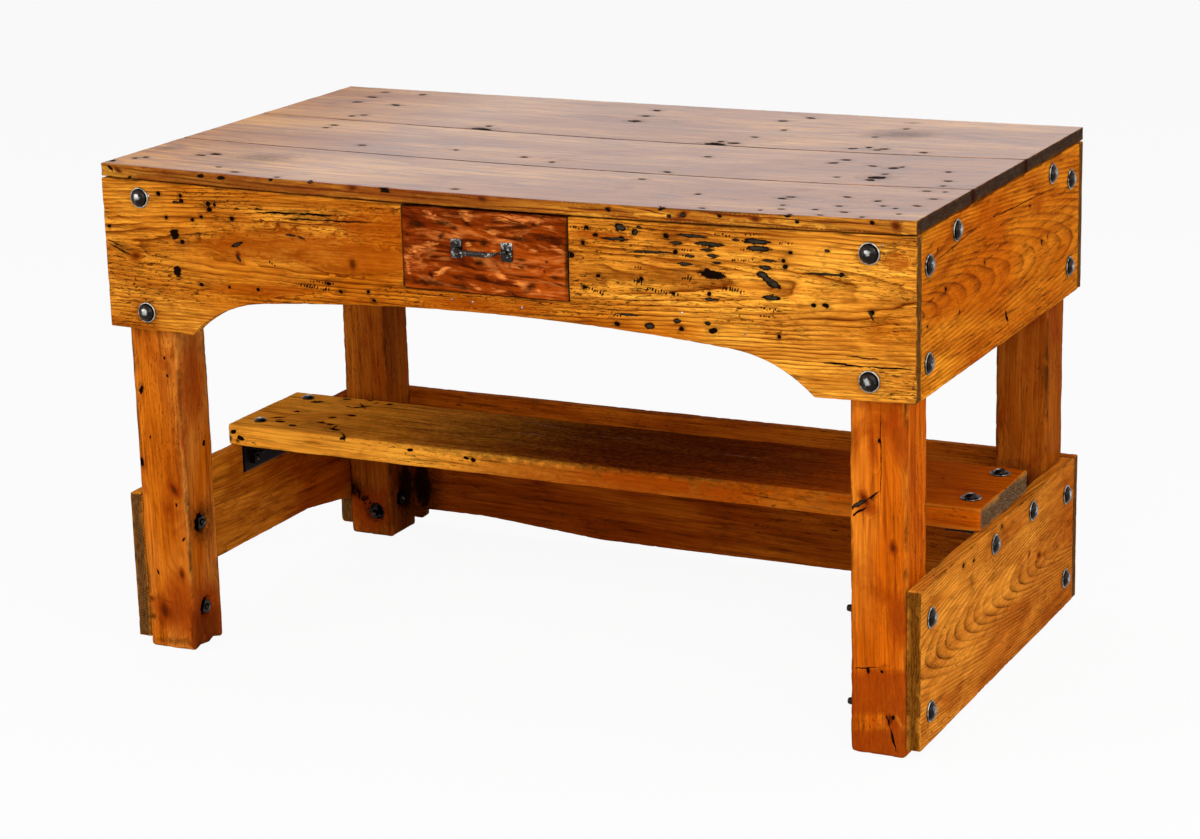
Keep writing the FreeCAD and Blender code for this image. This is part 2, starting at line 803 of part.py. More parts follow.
def main():
    os.makedirs("parts", exist_ok=True)
    worktop_planks()
    save("front_apron", [front_apron()])
    save("rear_apron", [rear_apron()])
    posts = {"front": right_post(front_post_face, front_post_back),
             "rear": right_post(rear_post_front, rear_post_face)}
    for row, post in posts.items():
        save(row + "_right_post", [drilled(post)])
        save(row + "_left_post", [drilled(mirrored(post))])
    pairs = {
        "apron": right_apron(),
        "top_cleat": top_cleat(),
        "drawer_guide": drawer_guide(),
        "drawer_runner": drawer_runner(),
        "drawer_side": drawer_side(),
    }
    for name, piece in pairs.items():
        save("right_" + name, [piece])
        save("left_" + name, [mirrored(piece)])
    save("right_lower_board", [right_lower_board()])
    save("left_lower_board", [left_lower_board()])
    save("rear_lower_board", [rear_lower_board()])
    save("foot_shelf", [foot_shelf()])
    bracket = right_bracket()
    save("right_shelf_bracket", [drilled(bracket)])
    save("left_shelf_bracket", [drilled(mirrored(bracket))])
    stop = drawer_stop()
    save("drawer_stops", [mirrored(stop), stop])
    save("drawer_front", [drawer_front()])
    save("drawer_back", [drawer_back()])
    save("drawer_bottom", [drawer_bottom()])
    save("drawer_pull", [drawer_pull()])
    save("drawer_pull_screws", pull_screws())
    for name, rows in bolt_nodes.items():
        save(name + "_bolts", [solid for row in rows for solid in row.bolts])
        save(name + "_washers", [solid for row in rows for solid in row.washers])
        save(name + "_nuts", [solid for row in rows for solid in row.nuts])


main()
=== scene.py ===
"""The looks of an old pine workbench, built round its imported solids.

Sizes are in millimetres in the frame of the solids, and become metres when a mesh is made.
Places read from the photograph are pixels of its 1200 by 839 frame.
"""

import json
import math

import bmesh
import bpy
import numpy as np
from mathutils import Matrix, Vector
from mathutils.geometry import delaunay_2d_cdt

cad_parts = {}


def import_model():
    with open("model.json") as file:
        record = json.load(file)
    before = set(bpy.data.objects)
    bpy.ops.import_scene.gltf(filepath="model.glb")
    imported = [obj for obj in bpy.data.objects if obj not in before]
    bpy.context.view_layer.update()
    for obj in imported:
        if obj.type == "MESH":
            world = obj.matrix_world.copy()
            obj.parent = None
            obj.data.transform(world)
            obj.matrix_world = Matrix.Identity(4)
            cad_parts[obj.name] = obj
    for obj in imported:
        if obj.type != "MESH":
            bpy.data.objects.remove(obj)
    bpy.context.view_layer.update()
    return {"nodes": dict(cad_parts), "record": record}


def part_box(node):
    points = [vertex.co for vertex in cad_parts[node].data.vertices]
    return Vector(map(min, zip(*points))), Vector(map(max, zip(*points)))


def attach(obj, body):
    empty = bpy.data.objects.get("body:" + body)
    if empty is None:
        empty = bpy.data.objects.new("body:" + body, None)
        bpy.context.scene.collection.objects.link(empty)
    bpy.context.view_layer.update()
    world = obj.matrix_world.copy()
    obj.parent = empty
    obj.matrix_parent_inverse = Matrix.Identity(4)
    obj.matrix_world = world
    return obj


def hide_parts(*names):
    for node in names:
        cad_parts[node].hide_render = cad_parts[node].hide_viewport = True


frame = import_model()

METRE = 1000.0
BODIES = {node: body for body, nodes in frame["record"]["behaviour"]["bodies"].items() for node in nodes}

# Camera, fitted to the corners of the bench in the photograph
PHOTO_WIDTH = 1200
PHOTO_HEIGHT = 839
SENSOR_WIDTH = 36.0
FOCAL_PIXELS = 2989.6
CAMERA_PLACE = np.array((2315.07, -4709.21, 1860.33))
CAMERA_RIGHT = np.array((0.89997414, 0.43525213, -0.02453815))
CAMERA_UP = np.array((-0.09550573, 0.25177236, 0.96306248))
CAMERA_BACK = np.array((0.42535303, -0.86438779, 0.26815769))

# Settling of the top and the long aprons under long use
HALF_LENGTH = 762.0
SAG_LEAN = 0.2
SAG_PLACES = (-425.0, -162.0, 113.0, 445.0)
SAG_DEPTHS = (9.2, 9.5, 8.5, 2.0)
DRAWER_DROP = 8.8

# The two axes that span a board's face, for each axis that its thickness may have
FLAT_AXES = {0: [1, 2], 1: [0, 2], 2: [0, 1]}

# Sides of the bench as (axis, way), and directions of the grain
TOP, FRONT, RIGHT, LEFT, REAR = (2, 1), (1, -1), (0, 1), (0, -1), (1, 1)
GRAIN = np.eye(3)

# The board that each row of bolts holds, and the side that their heads face
ROWS = {
    "front_apron": FRONT, "rear_apron": REAR, "left_apron": LEFT, "right_apron": RIGHT,
    "left_lower_board": LEFT, "right_lower_board": RIGHT, "rear_lower_board": REAR, "foot_shelf": TOP,
}


def settled(node, x, y):
    """How far a node has sunk at a place: the top with its long aprons, or the drawer with its runners."""
    if node.startswith("top_plank") or node in ("front_apron", "rear_apron"):
        share = np.clip(x / HALF_LENGTH, -1, 1)
        return (1 - share**2) * (1 + SAG_LEAN * share) * np.interp(y, SAG_PLACES, SAG_DEPTHS)
    return x * 0 + (DRAWER_DROP if "drawer" in node else 0.0)


def grain_axis(node):
    """The axis along which a board's grain runs."""
    if node.endswith("post"):
        return 2
    return 1 if node in ("right_apron", "right_lower_board") else 0


def unit(vector):
    return vector / np.linalg.norm(vector)


def hexed(code):
    """A colour as the shaders take it, from its usual web code."""
    channels = [int(code[i:i + 2], 16) / 255 for i in (0, 2, 4)]
    return tuple(c / 12.92 if c <= 0.04045 else ((c + 0.055) / 1.055) ** 2.4 for c in channels) + (1.0,)


def node_points(node):
    data = frame["nodes"][node].data
    flat = np.zeros(len(data.vertices) * 3)
    data.vertices.foreach_get("co", flat)
    return flat.reshape(-1, 3) * METRE


def node_box(node):
    low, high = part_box(node)
    return np.array(low) * METRE, np.array(high) * METRE


def face_level(node, face):
    return node_box(node)[face[1] > 0][face[0]]


def spot(u, v, node, face):
    """Where the ray of a pixel meets a board's face, before the board settled."""
    axis = face[0]
    right = (u - PHOTO_WIDTH / 2) / FOCAL_PIXELS
    down = (v - PHOTO_HEIGHT / 2) / FOCAL_PIXELS
    ray = right * CAMERA_RIGHT - down * CAMERA_UP - CAMERA_BACK
    lowered = np.zeros(3)
    for _ in range(3):
        away = face_level(node, face) - lowered[axis] - CAMERA_PLACE[axis]
        place = CAMERA_PLACE + ray * away / ray[axis]
        lowered[2] = settled(node, place[0], place[1])
    return place + lowered


def pixel_size(place):
    """The width in millimetres that one pixel covers at a place."""
    return float(np.dot(CAMERA_PLACE - place, CAMERA_BACK)) / FOCAL_PIXELS


# Outlines

def grown(loop, distance):
    """A closed outline with each side moved outwards."""
    ahead = np.roll(loop, -1, 0) - loop
    ahead /= np.linalg.norm(ahead, axis=1)[:, None]
    normal = np.stack([ahead[:, 1], -ahead[:, 0]], 1)
    before = np.roll(normal, 1, 0)
    mitre = (normal + before) / (1 + (normal * before).sum(1))[:, None]
    return loop + mitre * np.reshape(distance, (-1, 1))


def rectangle(low, high, axis):
    """The outline of a plain board's face."""
    a, b = FLAT_AXES[axis]
    return np.array([(low[a], low[b]), (high[a], low[b]), (high[a], high[b]), (low[a], high[b])])


# Within this distance of a face's level, a polygon of the solid belongs to the face
SAME_LEVEL = 0.05


def solid_loop(node, face):
    """The outline of a shaped board's face, read from its solid, with the broken arris filled."""
    axis = face[0]
    points = node_points(node)
    level = points[:, axis].max() if face[1] > 0 else points[:, axis].min()
    numbers = {}
    names = [numbers.setdefault(tuple(np.round(p, 2)), len(numbers)) for p in points]
    places = np.array(list(numbers))
    edges = set()
    for polygon in frame["nodes"][node].data.polygons:
        corners = [names[i] for i in polygon.vertices]
        if np.abs(places[corners, axis] - level).max() < SAME_LEVEL:
            edges.update(zip(corners, corners[1:] + corners[:1]))
    following = {a: b for a, b in edges if (b, a) not in edges}
    loops = []
    while following:
        chain = list(following.popitem())
        while chain[-1] != chain[0]:
            chain.append(following.pop(chain[-1]))
        loops.append(places[chain[:-1]][:, FLAT_AXES[axis]])
    loop = max(loops, key=lambda points: np.ptp(points[:, 0]))
    x, y = loop.T
    if (x * np.roll(y, -1) - y * np.roll(x, -1)).sum() < 0:
        loop = loop[::-1]
    first = FLAT_AXES[axis][0]
    return grown(loop, node_box(node)[1][first] - loop[:, 0].max())


# Corners that turn less than this, in radians, stay as they are
LEAST_TURN = 0.35


def dense(loop, step, radius):
    """An outline with its sharp corners rounded and its sides cut into short pieces."""
    rounded = []
    for i, here in enumerate(loop):
        back = loop[i - 1] - here
        on = loop[(i + 1) % len(loop)] - here
        turn = math.pi - math.acos(np.clip(np.dot(unit(back), unit(on)), -1, 1))
        if turn < LEAST_TURN:
            rounded.append(here)
            continue
        reach = radius * math.tan(turn / 2)
        start = here + unit(back) * reach
        end = here + unit(on) * reach
        for t in np.linspace(0, 1, 4):
            rounded.append((1 - t) ** 2 * start + 2 * t * (1 - t) * here + t * t * end)
    cut = []
    for here, there in zip(rounded, rounded[1:] + rounded[:1]):
        pieces = max(1, int(np.linalg.norm(there - here) / step + 0.5))
        cut += [here + (there - here) * k / pieces for k in range(pieces)]
    return np.array(cut)


# Marks on a face: holes, gouges, stains, pale scuffs and knots

PLAIN = {
    "depth": 0.0, "pit": 0.0, "stain": 0.0, "light": 0.0, "knot": 0.0, "tint": 0.0, "halo": 0.0,
    "soft": 0.25, "fine": True, "pointed": False, "wavy": 0.0,
}
# A mark reaches this far off its face, round the arris
MARK_REACH = 8
# Marks this many times as long as wide take a net of rows, and a seam's dirt needs none
LONG_MARK = 5
SEAM_LONGER = 300.0
ROW_PLACES = (0, 0.55, -0.55, 0.98, -0.98, 1.35, -1.35, 2.2, -2.2)


class Mark:
    """A patch of a face, longer along one direction, that is sunk or coloured."""

    def __init__(self, place, face, along, long_radius, short_radius, **looks):
        vars(self).update({**PLAIN, **looks})
        self.place = place
        self.face = face
        self.normal = GRAIN[face[0]] * face[1]
        self.along = unit(along - self.normal * np.dot(along, self.normal))
        self.across = np.cross(self.normal, self.along)
        self.long_radius = long_radius
        self.short_radius = short_radius

    def bend(self, along):
        """How far a long mark wanders from a straight line."""
        phase = self.place.sum()
        slow = np.sin(along * 5.1 / self.long_radius + phase)
        return (slow + 0.5 * np.sin(along * 12.7 / self.long_radius + phase * 3)) * self.wavy

    def share(self, points):
        """0 at the mark's middle, 1 at its edge, for each point."""
        away = points - self.place
        run = away @ self.along
        along = np.abs(run) / self.long_radius
        across = np.abs(away @ self.across - self.bend(run)) / self.short_radius
        far = along**2.2 + across**1.1 if self.pointed else np.hypot(along, across)
        return np.where(np.abs(away @ self.normal) < MARK_REACH, far, 99.0)

    def net(self):
        """Points round the mark, so that its edge is crisp in the mesh, as (along, across)."""
        longer = self.long_radius / self.short_radius
        if longer > SEAM_LONGER:
            return np.zeros((0, 2))
        if longer > LONG_MARK:
            runs = np.linspace(-1.04, 1.04, int(np.clip(longer * 1.6, 12, 110)))
            found = [(run * self.long_radius, row * self.short_radius) for run in runs for row in ROW_PLACES]
            return np.array([(run, row + self.bend(run)) for run, row in found])
        around = int(np.clip(9 + 2.5 * longer, 10, 34))
        found = [(0.0, 0.0)]
        for k, share in enumerate((0.45, 0.82, 1.0, 1.22) if self.fine else (0.4, 0.7, 1.0, 1.3)):
            for angle in np.linspace(0, 2 * math.pi, around, endpoint=False) + k * 0.3:
                along = share * self.long_radius * math.cos(angle)
                found.append((along, share * self.short_radius * math.sin(angle)))
        return np.array(found)


def smooth_step(value, start, end):
    share = np.clip((value - start) / (end - start), 0, 1)
    return share * share * (3 - 2 * share)


def ripple(points, size, seed):
    """A smooth random unevenness from -1 to 1, with bumps of about a size."""
    random = np.random.default_rng(seed)
    total = np.zeros(len(points))
    for _ in range(6):
        direction = unit(random.normal(size=3)) * 2 * math.pi / (size * random.uniform(0.7, 1.8))
        total += np.sin(points @ direction + random.uniform(0, 2 * math.pi))
    return total / 3


# Boards

# The flat strip kept between an arris and the face, so that its shading stays crisp
FLAT_RUN = 0.9
# Points of a mark's net nearer to each other than this become one
NET_GAP = 0.45


def inside(points, loop):
    """Which points are inside an outline."""
    x, y = points[:, :1], points[:, 1:]
    ax, ay = loop.T
    bx, by = np.roll(loop, -1, 0).T
    flat = np.where(by == ay, 1.0, by - ay)
    crossed = ((ay > y) != (by > y)) & (x < (bx - ax) * (y - ay) / flat + ax)
    return crossed.sum(1) % 2 == 1


def filled(border, step, marks, to_flat):
    """Points and triangles over a flat region: a plain grid, with a net of points round each mark."""
    across, up = [np.arange(border[:, k].min() + step / 2, border[:, k].max(), step) for k in (0, 1)]
    grid = np.stack(np.meshgrid(across, up), -1).reshape(-1, 2)
    nets = []
    keep = np.ones(len(grid), bool)
    for mark in marks:
        centre, along, across = to_flat(mark)
        net = mark.net()
        nets.append(centre + net[:, :1] * along + net[:, 1:] * across)
        away = grid - centre
        keep &= np.hypot(away @ along / mark.long_radius, away @ across / mark.short_radius) > 1.5
    points = np.vstack([grid[keep]] + nets)
    points = points[np.sort(np.unique(np.round(points / NET_GAP), axis=0, return_index=True)[1])]
    points = points[inside(points, border)]
    keep = np.ones(len(points), bool)
    for corner in border:
        keep &= ((points - corner) ** 2).sum(1) > (step * 0.35) * (step * 0.35)
    points = np.vstack([border, points[keep]])
    found = delaunay_2d_cdt([Vector(p) for p in points], [], [list(range(len(border)))], 1, 1e-4)
    flat = np.array([points[origin[0]] if origin else place for origin, place in zip(found[3], found[0])])
    return flat, [list(face) for face in found[2]]


def stacked(parts):
    """Parts of (points, faces, value) as one."""
    faces = []
    count = 0
    for points, part_faces, _ in parts:
        faces += [[i + count for i in face] for face in part_faces]
        count += len(points)
    values = [np.broadcast_to(value, len(points)) for points, _, value in parts]
    return np.vstack([part[0] for part in parts]), faces, np.concatenate(values)


def joined(parts):
    """The regions of a skin, joined at their shared points."""
    points, faces, values = stacked(parts)
    _, first, same = np.unique(np.round(points * 500), axis=0, return_index=True, return_inverse=True)
    same = same.ravel()
    named = [list(dict.fromkeys(int(same[i]) for i in face)) for face in faces]
    return points[first], [face for face in named if len(face) > 2], values[first]


class Shell:
    """A board's skin in the making: the rim of its outline, its worn arris and the way into the board."""

    def __init__(self, loop, axis, near, far, ease, step, corner, seed):
        self.axis = axis
        self.near = near
        self.way = 1 if far > near else -1
        self.thick = abs(far - near)
        self.step = step
        self.spans = FLAT_AXES[axis]
        self.rim = dense(loop, step, max(corner, ease * 1.35 + FLAT_RUN + 0.4))
        self.lined = np.vstack([self.rim, self.rim[:1]])
        self.run = np.append(0, np.cumsum(np.linalg.norm(np.diff(self.lined, axis=0), axis=1)))
        self.eases = ease * (1 + 0.35 * ripple(np.c_[self.rim, np.zeros(len(self.rim))], 55, seed))

    def placed(self, flat, depth):
        points = np.zeros((len(flat), 3))
        points[:, self.spans] = flat
        points[:, self.axis] = self.near + self.way * depth
        return points

    def on_face(self, mark):
        """A mark's place and directions on the flat of a face."""
        return mark.place[self.spans], mark.along[self.spans], mark.across[self.spans]

    def on_rim(self, mark):
        """A mark's place and directions on the rim, laid out flat."""
        flat = mark.place[self.spans]
        nearest = int(((self.rim - flat) ** 2).sum(1).argmin())
        tangent = unit(self.lined[nearest + 1] - self.lined[nearest])
        reach = self.run[nearest] + np.dot(flat - self.rim[nearest], tangent)
        centre = np.array((reach, (mark.place[self.axis] - self.near) * self.way))
        ways = mark.along, mark.across
        return centre, *[np.array((np.dot(d[self.spans], tangent), d[self.axis] * self.way)) for d in ways]

    def faces(self, marks):
        """Both faces, each with the rounded arris round it."""
        count = len(self.rim)
        here = np.arange(count)
        rows = [(self.eases + FLAT_RUN, 0 * self.eases)]
        for angle in np.linspace(0, math.pi / 2, 4):
            rows.append((self.eases * (1 - math.sin(angle)), self.eases * (1 - math.cos(angle))))
        quads = []
        for low in range(0, (len(rows) - 1) * count, count):
            high = low + count
            quads += [[i + low, j + low, j + high, i + high] for i, j in zip(here, (here + 1) % count)]
        worn = np.repeat([0.0, 0.5, 1.0, 1.0, 1.0], count)
        parts = []
        for side in (-self.way, self.way):
            depths = [depth if side == -self.way else self.thick - depth for _, depth in rows]
            rings = [self.placed(grown(self.rim, -inset), depth) for (inset, _), depth in zip(rows, depths)]
            parts.append((np.vstack(rings), quads, worn))
            chosen = [mark for mark in marks if mark.face == (self.axis, side)]
            flat, faces = filled(grown(self.rim, -rows[0][0]), self.step, chosen, self.on_face)
            parts.append((self.placed(flat, 0.0 if side == -self.way else self.thick), faces, 0.0))
        return parts

    def side_skin(self, marks):
        """The rim between the two arrises, laid out flat while it is filled."""
        ends = np.append(self.eases, self.eases[0])
        pieces = max(2, int(self.thick / self.step + 0.5))
        column = np.linspace(self.eases[0], self.thick - self.eases[0], pieces + 1)[1:-1]
        border = np.vstack([
            np.c_[self.run, ends], np.c_[np.full(len(column), self.run[-1]), column],
            np.c_[self.run[::-1], self.thick - ends[::-1]], np.c_[np.zeros(len(column)), column[::-1]],
        ])
        chosen = [mark for mark in marks if mark.face[0] != self.axis]
        flat, faces = filled(border, self.step, chosen, self.on_rim)
        along_rim = np.stack([np.interp(flat[:, 0], self.run, self.lined[:, k]) for k in (0, 1)], 1)
        ease_here = np.interp(flat[:, 0], self.run, ends)
        off_arris = np.minimum(np.abs(flat[:, 1] - ease_here), np.abs(flat[:, 1] - self.thick + ease_here))
        return self.placed(along_rim, flat[:, 1]), faces, np.where(off_arris < 1e-6, 1.0, 0.0)


def build_shell(loop, axis, near, far, ease, step, corner, marks, seed):
    """A board's skin: two faces, the rounded arrises and the rim between them."""
    shell = Shell(loop, axis, near, far, ease, step, corner, seed)
    return joined(shell.faces(marks) + [shell.side_skin(marks)])


def mesh_object(name, points, faces):
    """A closed mesh with smooth shading and its faces turned outwards."""
    mesh = bpy.data.meshes.new(name)
    mesh.from_pydata((points / METRE).tolist(), [], faces)
    made = bmesh.new()
    made.from_mesh(mesh)
    bmesh.ops.recalc_face_normals(made, faces=made.faces)
    made.to_mesh(mesh)
    made.free()
    mesh.shade_smooth()
    return linked(bpy.data.objects.new(name, mesh))


def linked(thing):
    bpy.context.scene.collection.objects.link(thing)
    return thing


def values_on(thing, name, values):
    """Writes a value or a colour for each point, for the materials to read."""
    coloured = values.ndim > 1
    made = thing.data.attributes.new(name, "FLOAT_COLOR" if coloured else "FLOAT", "POINT")
    made.data.foreach_set("color" if coloured else "value", values.astype(float).ravel())


def stand_in(thing, node, finish):
    """Gives a piece its material, and the place in the model of the node that it stands for."""
    thing.data.materials.append(finish)
    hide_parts(node)
    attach(thing, BODIES[node])


def mark_values(points, marks):
    """The sinking and the four colour shares that the marks give to each point."""
    sunk = np.zeros(len(points))
    shares = np.zeros((len(points), 4))
    for mark in marks:
        far = mark.share(points)
        core = 1 - smooth_step(far, 1 - mark.soft, 1 + mark.soft * 0.6)
        wide = 1 - smooth_step(far, 0.0, 1.25)
        halo = mark.halo * (1 - smooth_step(far, 0.8, 3.2))
        pale = 1 - smooth_step(far, 0.25, 0.85) if mark.pit else core
        grown_knot = mark.knot * wide + mark.tint * core
        found = (mark.pit * core, np.maximum(mark.stain * core, halo), mark.light * pale, grown_knot)
        sunk = np.maximum(sunk, mark.depth * core)
        shares = np.maximum(shares, np.stack(found, 1))
    return sunk, shares


def board(node, face, finish, seed, marks=(), shaped=False, ease=1.6, step=7.0, corner=1.8, uneven=0.25):
    """A board that stands for a node: worn, marked and settled."""
    low, high = node_box(node)
    axis = face[0]
    near, far = (high[axis], low[axis]) if face[1] > 0 else (low[axis], high[axis])
    loop = solid_loop(node, face) if shaped else rectangle(low, high, axis)
    marks = pixel_marks(node, MARKS.get(node, ())) + list(marks)
    points, faces, edges = build_shell(loop, axis, near, far, ease, step, corner, marks, seed)
    thing = mesh_object("worn_" + node, points, faces)
    normals = np.zeros(len(points) * 3)
    thing.data.vertex_normals.foreach_get("vector", normals)
    sunk, shares = mark_values(points, marks)
    waves = ripple(points, 130, seed + 11) * uneven + ripple(points, 34, seed + 12) * uneven * 0.35
    nicks = np.clip(ripple(points, 16, seed + 13) - 0.35, 0, 1) * edges * 0.9
    points = points + normals.reshape(-1, 3) * (waves - sunk - nicks - uneven)[:, None]
    points[:, 2] -= settled(node, points[:, 0], points[:, 1])
    thing.data.vertices.foreach_set("co", (points / METRE).ravel())
    values_on(thing, "marks", shares)
    values_on(thing, "edge", edges)
    thing.data.update()
    stand_in(thing, node, finish)


# Materials

class Paint:
    """A short way to write the nodes of a material or a world."""

    def __init__(self, owner):
        owner.use_nodes = True
        self.owner = owner
        self.tree = owner.node_tree
        self.tree.nodes.clear()

    def node(self, kind, inputs=(), **settings):
        """A new node, its inputs given in their order or by their numbers or names."""
        made = self.tree.nodes.new("ShaderNode" + kind)
        for key, value in settings.items():
            setattr(made, key, value)
        for key, value in inputs.items() if isinstance(inputs, dict) else enumerate(inputs):
            if isinstance(value, bpy.types.NodeSocket):
                self.tree.links.new(value, made.inputs[key])
            else:
                made.inputs[key].default_value = value
        return made

    def math(self, kind, a, b=0.0, c=0.0, clamp=False):
        return self.node("Math", (a, b, c), operation=kind, use_clamp=clamp).outputs[0]

    def times(self, a, b, clamp=False):
        return self.math("MULTIPLY", a, b, clamp=clamp)

    def plus(self, total, a, b, clamp=False):
        """A total and the product of two more values."""
        return self.math("MULTIPLY_ADD", a, b, total, clamp)

    def split(self, vector):
        return self.node("SeparateXYZ", (vector,)).outputs

    def mix(self, share, a, b, kind="MIX"):
        return self.node("Mix", {0: share, 6: a, 7: b}, data_type="RGBA", blend_type=kind).outputs[2]

    def noise(self, vector, scale, detail=2.0, rough=0.5, twist=0.0):
        return self.node("TexNoise", {
            "Vector": vector, "Scale": scale, "Detail": detail, "Roughness": rough, "Distortion": twist,
        }).outputs[0]

    def span(self, value, low, high, start=0.0, end=1.0):
        """A value's place between two limits, as a share or between a start and an end."""
        return self.node("MapRange", (value, low, high, start, end)).outputs[0]

    def rest(self, value):
        return self.math("SUBTRACT", value, 0.5)

    def object_place(self):
        return self.node("TexCoord").outputs["Object"]

    def bump(self, height, distance):
        return self.node("Bump", {"Strength": 0.4, "Distance": distance, "Height": height}).outputs[0]

    def output(self, shader, kind="OutputMaterial"):
        self.node(kind, (shader.outputs[0],))
        return self.owner


# Shares of the growth rings' darkness at places across a year, from early wood to late wood
YEAR = ((0.0, 0.16), (0.14, 0.0), (0.45, 0.12), (0.74, 0.52), (0.92, 1.0), (1.0, 0.16))

WOOD = {
    "light": "F09A24", "mid": "C6680A", "deep": "4A1C02", "ring": "8A4204", "end": "6A4420",
    "flush": "A04206", "scuff": "E2A868", "year": 0.005, "warp": 5.0, "warp_scale": 5.0, "shiver": 0.7,
    "heart": (0.02, 0.09, 0.03, 0.06), "contrast": 0.7, "blotch": 0.5, "streaks": 0.7, "bands": 0.34,
    "fibre": 0.24, "rough": 0.32, "gloss": 0.0, "coat": 0.015, "side_coat": 0.015, "seed": 0.0,
    "wear": 0.35, "dirt": 0.45, "dashes": 0.8, "curl": 0.4, "fade": 0.0, "coat_fade": None,
    "swirl": 0.0, "side_tone": 1.0, "soil": 0.75, "speckle": 0.6, "bow": 0.0,
}


class Wood(Paint):
    """Old pine, laid up in steps: each covers a share of the colour that is there."""

    def __init__(self, name, grain, face, changes):
        super().__init__(bpy.data.materials.new(name))
        self.spec = spec = {**WOOD, **changes}
        self.axes = grain, face
        marks = self.node("Attribute", attribute_name="marks").outputs
        self.pit, self.stain, self.light = self.node("SeparateColor", (marks["Color"],)).outputs
        self.knot = marks["Alpha"]
        self.edge = self.node("Attribute", attribute_name="edge").outputs["Fac"]
        place = self.from_heart(*spec["heart"])
        self.along = self.split(place)[0]
        self.place = self.node("VectorMath", (place, (spec["seed"] * 0.7, 0, 0)), operation="ADD").outputs[0]
        self.rings = self.growth_rings()

    def from_heart(self, across_heart, deep_heart, slant, lean):
        """Coordinates along the grain, across the face and into it, from the tree's heart."""
        grain, face = self.axes
        parts = self.split(self.object_place())
        slant = self.times(parts[grain], slant)
        lean = self.times(parts[grain], lean)
        side = self.math("SUBTRACT", parts[3 - grain - face], across_heart)
        deep = self.math("SUBTRACT", parts[face], deep_heart)
        if self.spec["bow"]:
            deep = self.plus(deep, self.times(parts[grain], parts[grain]), self.spec["bow"])
        values = (parts[grain], self.math("ADD", side, slant), self.math("ADD", deep, lean))
        return self.node("CombineXYZ", values).outputs[0]

    def figure(self, along, across, detail=2.0, rough=0.5, twist=0.0, scale=1.0, deep=None):
        """A noise stretched along the grain."""
        factors = (along, across, deep or across)
        place = self.node("VectorMath", (self.place, factors), operation="MULTIPLY").outputs[0]
        return self.noise(place, scale, detail, rough, twist)

    def growth_rings(self):
        """0 in the pale early wood of a year, 1 at its dark late wood."""
        spec = self.spec
        parts = self.split(self.place)
        squares = [self.times(part, part) for part in parts[1:3]]
        radius = self.math("SQRT", self.math("ADD", *squares))
        years = self.math("DIVIDE", radius, spec["year"])
        years = self.plus(years, self.figure(0.16, 1.0, 2.0, 0.45, scale=spec["warp_scale"]), spec["warp"])
        years = self.plus(years, self.figure(0.3, 1.0, scale=42.0), spec["shiver"])
        years = self.plus(years, self.knot, 5.0)
        ramp = self.node("ValToRGB", (self.math("FRACT", years),))
        slots = ramp.color_ramp.elements
        while len(slots) < len(YEAR):
            slots.new(0.5)
        for slot, (place, dark) in zip(slots, YEAR):
            slot.position = place
            slot.color = (dark, dark, dark, 1)
        even = self.figure(0.25, 1.0, 2.0, 0.6, scale=26.0)
        return self.times(ramp.outputs[0], self.span(even, 0.3, 0.7, 0.15, 1.0))

    def tinted(self, colour, value):
        """A colour times a grey share: darker wood is also redder, as it is under old varnish."""
        channels = (value, self.math("POWER", value, 1.45), self.math("POWER", value, 2.0))
        return self.mix(1.0, colour, self.node("CombineColor", channels).outputs[0], "MULTIPLY")

    def cover(self, share, colour):
        """Lays a colour of the spec, a coded one or a socket over what is there."""
        if isinstance(colour, str):
            colour = hexed(self.spec.get(colour, colour))
        self.colour = self.mix(share, self.colour, colour)

    def soak(self, value, rag, low, high, least):
        """A mark's share, made ragged, with the clean wood kept clean."""
        return self.times(self.span(rag, low, high), self.span(value, *least))

    def grow(self):
        """Growth rings, flushed and resinous places, bands and fibres, with a slope of colour along the
        grain that is painted light on some boards.
        """
        spec = self.spec
        self.fibres = self.figure(6.0, 300.0, 3.0, 0.62)
        self.pores = self.figure(30.0, 900.0)
        self.patches = self.figure(6.0, 16.0, 4.0, 0.62, 1.0)
        self.grime = self.figure(11.0, 26.0, 4.0, 0.65, 1.2)
        # A slope of colour along the grain: painted light that makes the shelf lighter to its left and the
        # lower side boards lighter to their front; on the front apron and the worktop, a small slope along
        # the length.
        self.clouds = self.plus(self.figure(1.6, 5.5, 3.0, 0.55, 0.6), self.along, -spec["fade"])
        self.colour = hexed(spec["light"])
        self.cover(self.span(self.clouds, 0.34, 0.66), "mid")
        self.cover(self.times(self.rings, spec["contrast"]), "ring")
        self.cover(self.times(self.span(self.patches, 0.5, 0.74), spec["blotch"]), "flush")
        resin = self.figure(6.0, 150.0, 3.0, 0.6, 0.3)
        self.cover(self.times(self.span(resin, 0.54, 0.7), spec["streaks"]), "deep")
        bands = self.figure(1.6, 62.0, 4.0, 0.6, spec["curl"])
        tone = self.span(bands, 0.28, 0.72, 1 - spec["bands"], 1 + spec["bands"] * 0.55)
        tone = self.times(tone, self.span(self.fibres, 0.25, 0.75, 1 - spec["fibre"], 1 + spec["fibre"]))
        tone = self.times(tone, self.span(self.patches, 0.25, 0.75, 1.14, 0.84))
        self.colour = self.tinted(self.colour, tone)
        if spec["swirl"]:
            flow = self.figure(9.0, 34.0, 4.0, 0.6, spec["swirl"])
            self.cover(self.span(flow, 0.52, 0.72, 0.0, 0.7), "scuff")
            self.cover(self.span(flow, 0.34, 0.47, 0.85, 0.0), "deep")

    def speckle(self):
        """Resin ducts and fine beetle tracks."""
        least = self.spec["speckle"]
        flecks = self.figure(48.0, 520.0, 2.0, 0.6)
        crowd = self.figure(4.0, 13.0)
        worms = self.figure(85.0, 260.0, 2.0, 0.55, 0.8)
        ducts = self.times(self.span(flecks, least, least + 0.09), self.span(crowd, 0.38, 0.58))
        tracks = self.times(self.span(worms, least + 0.03, least + 0.09), self.span(crowd, 0.46, 0.6))
        self.dashes = self.times(self.math("MAXIMUM", ducts, tracks), self.spec["dashes"])
        self.cover(self.dashes, "2E1404")

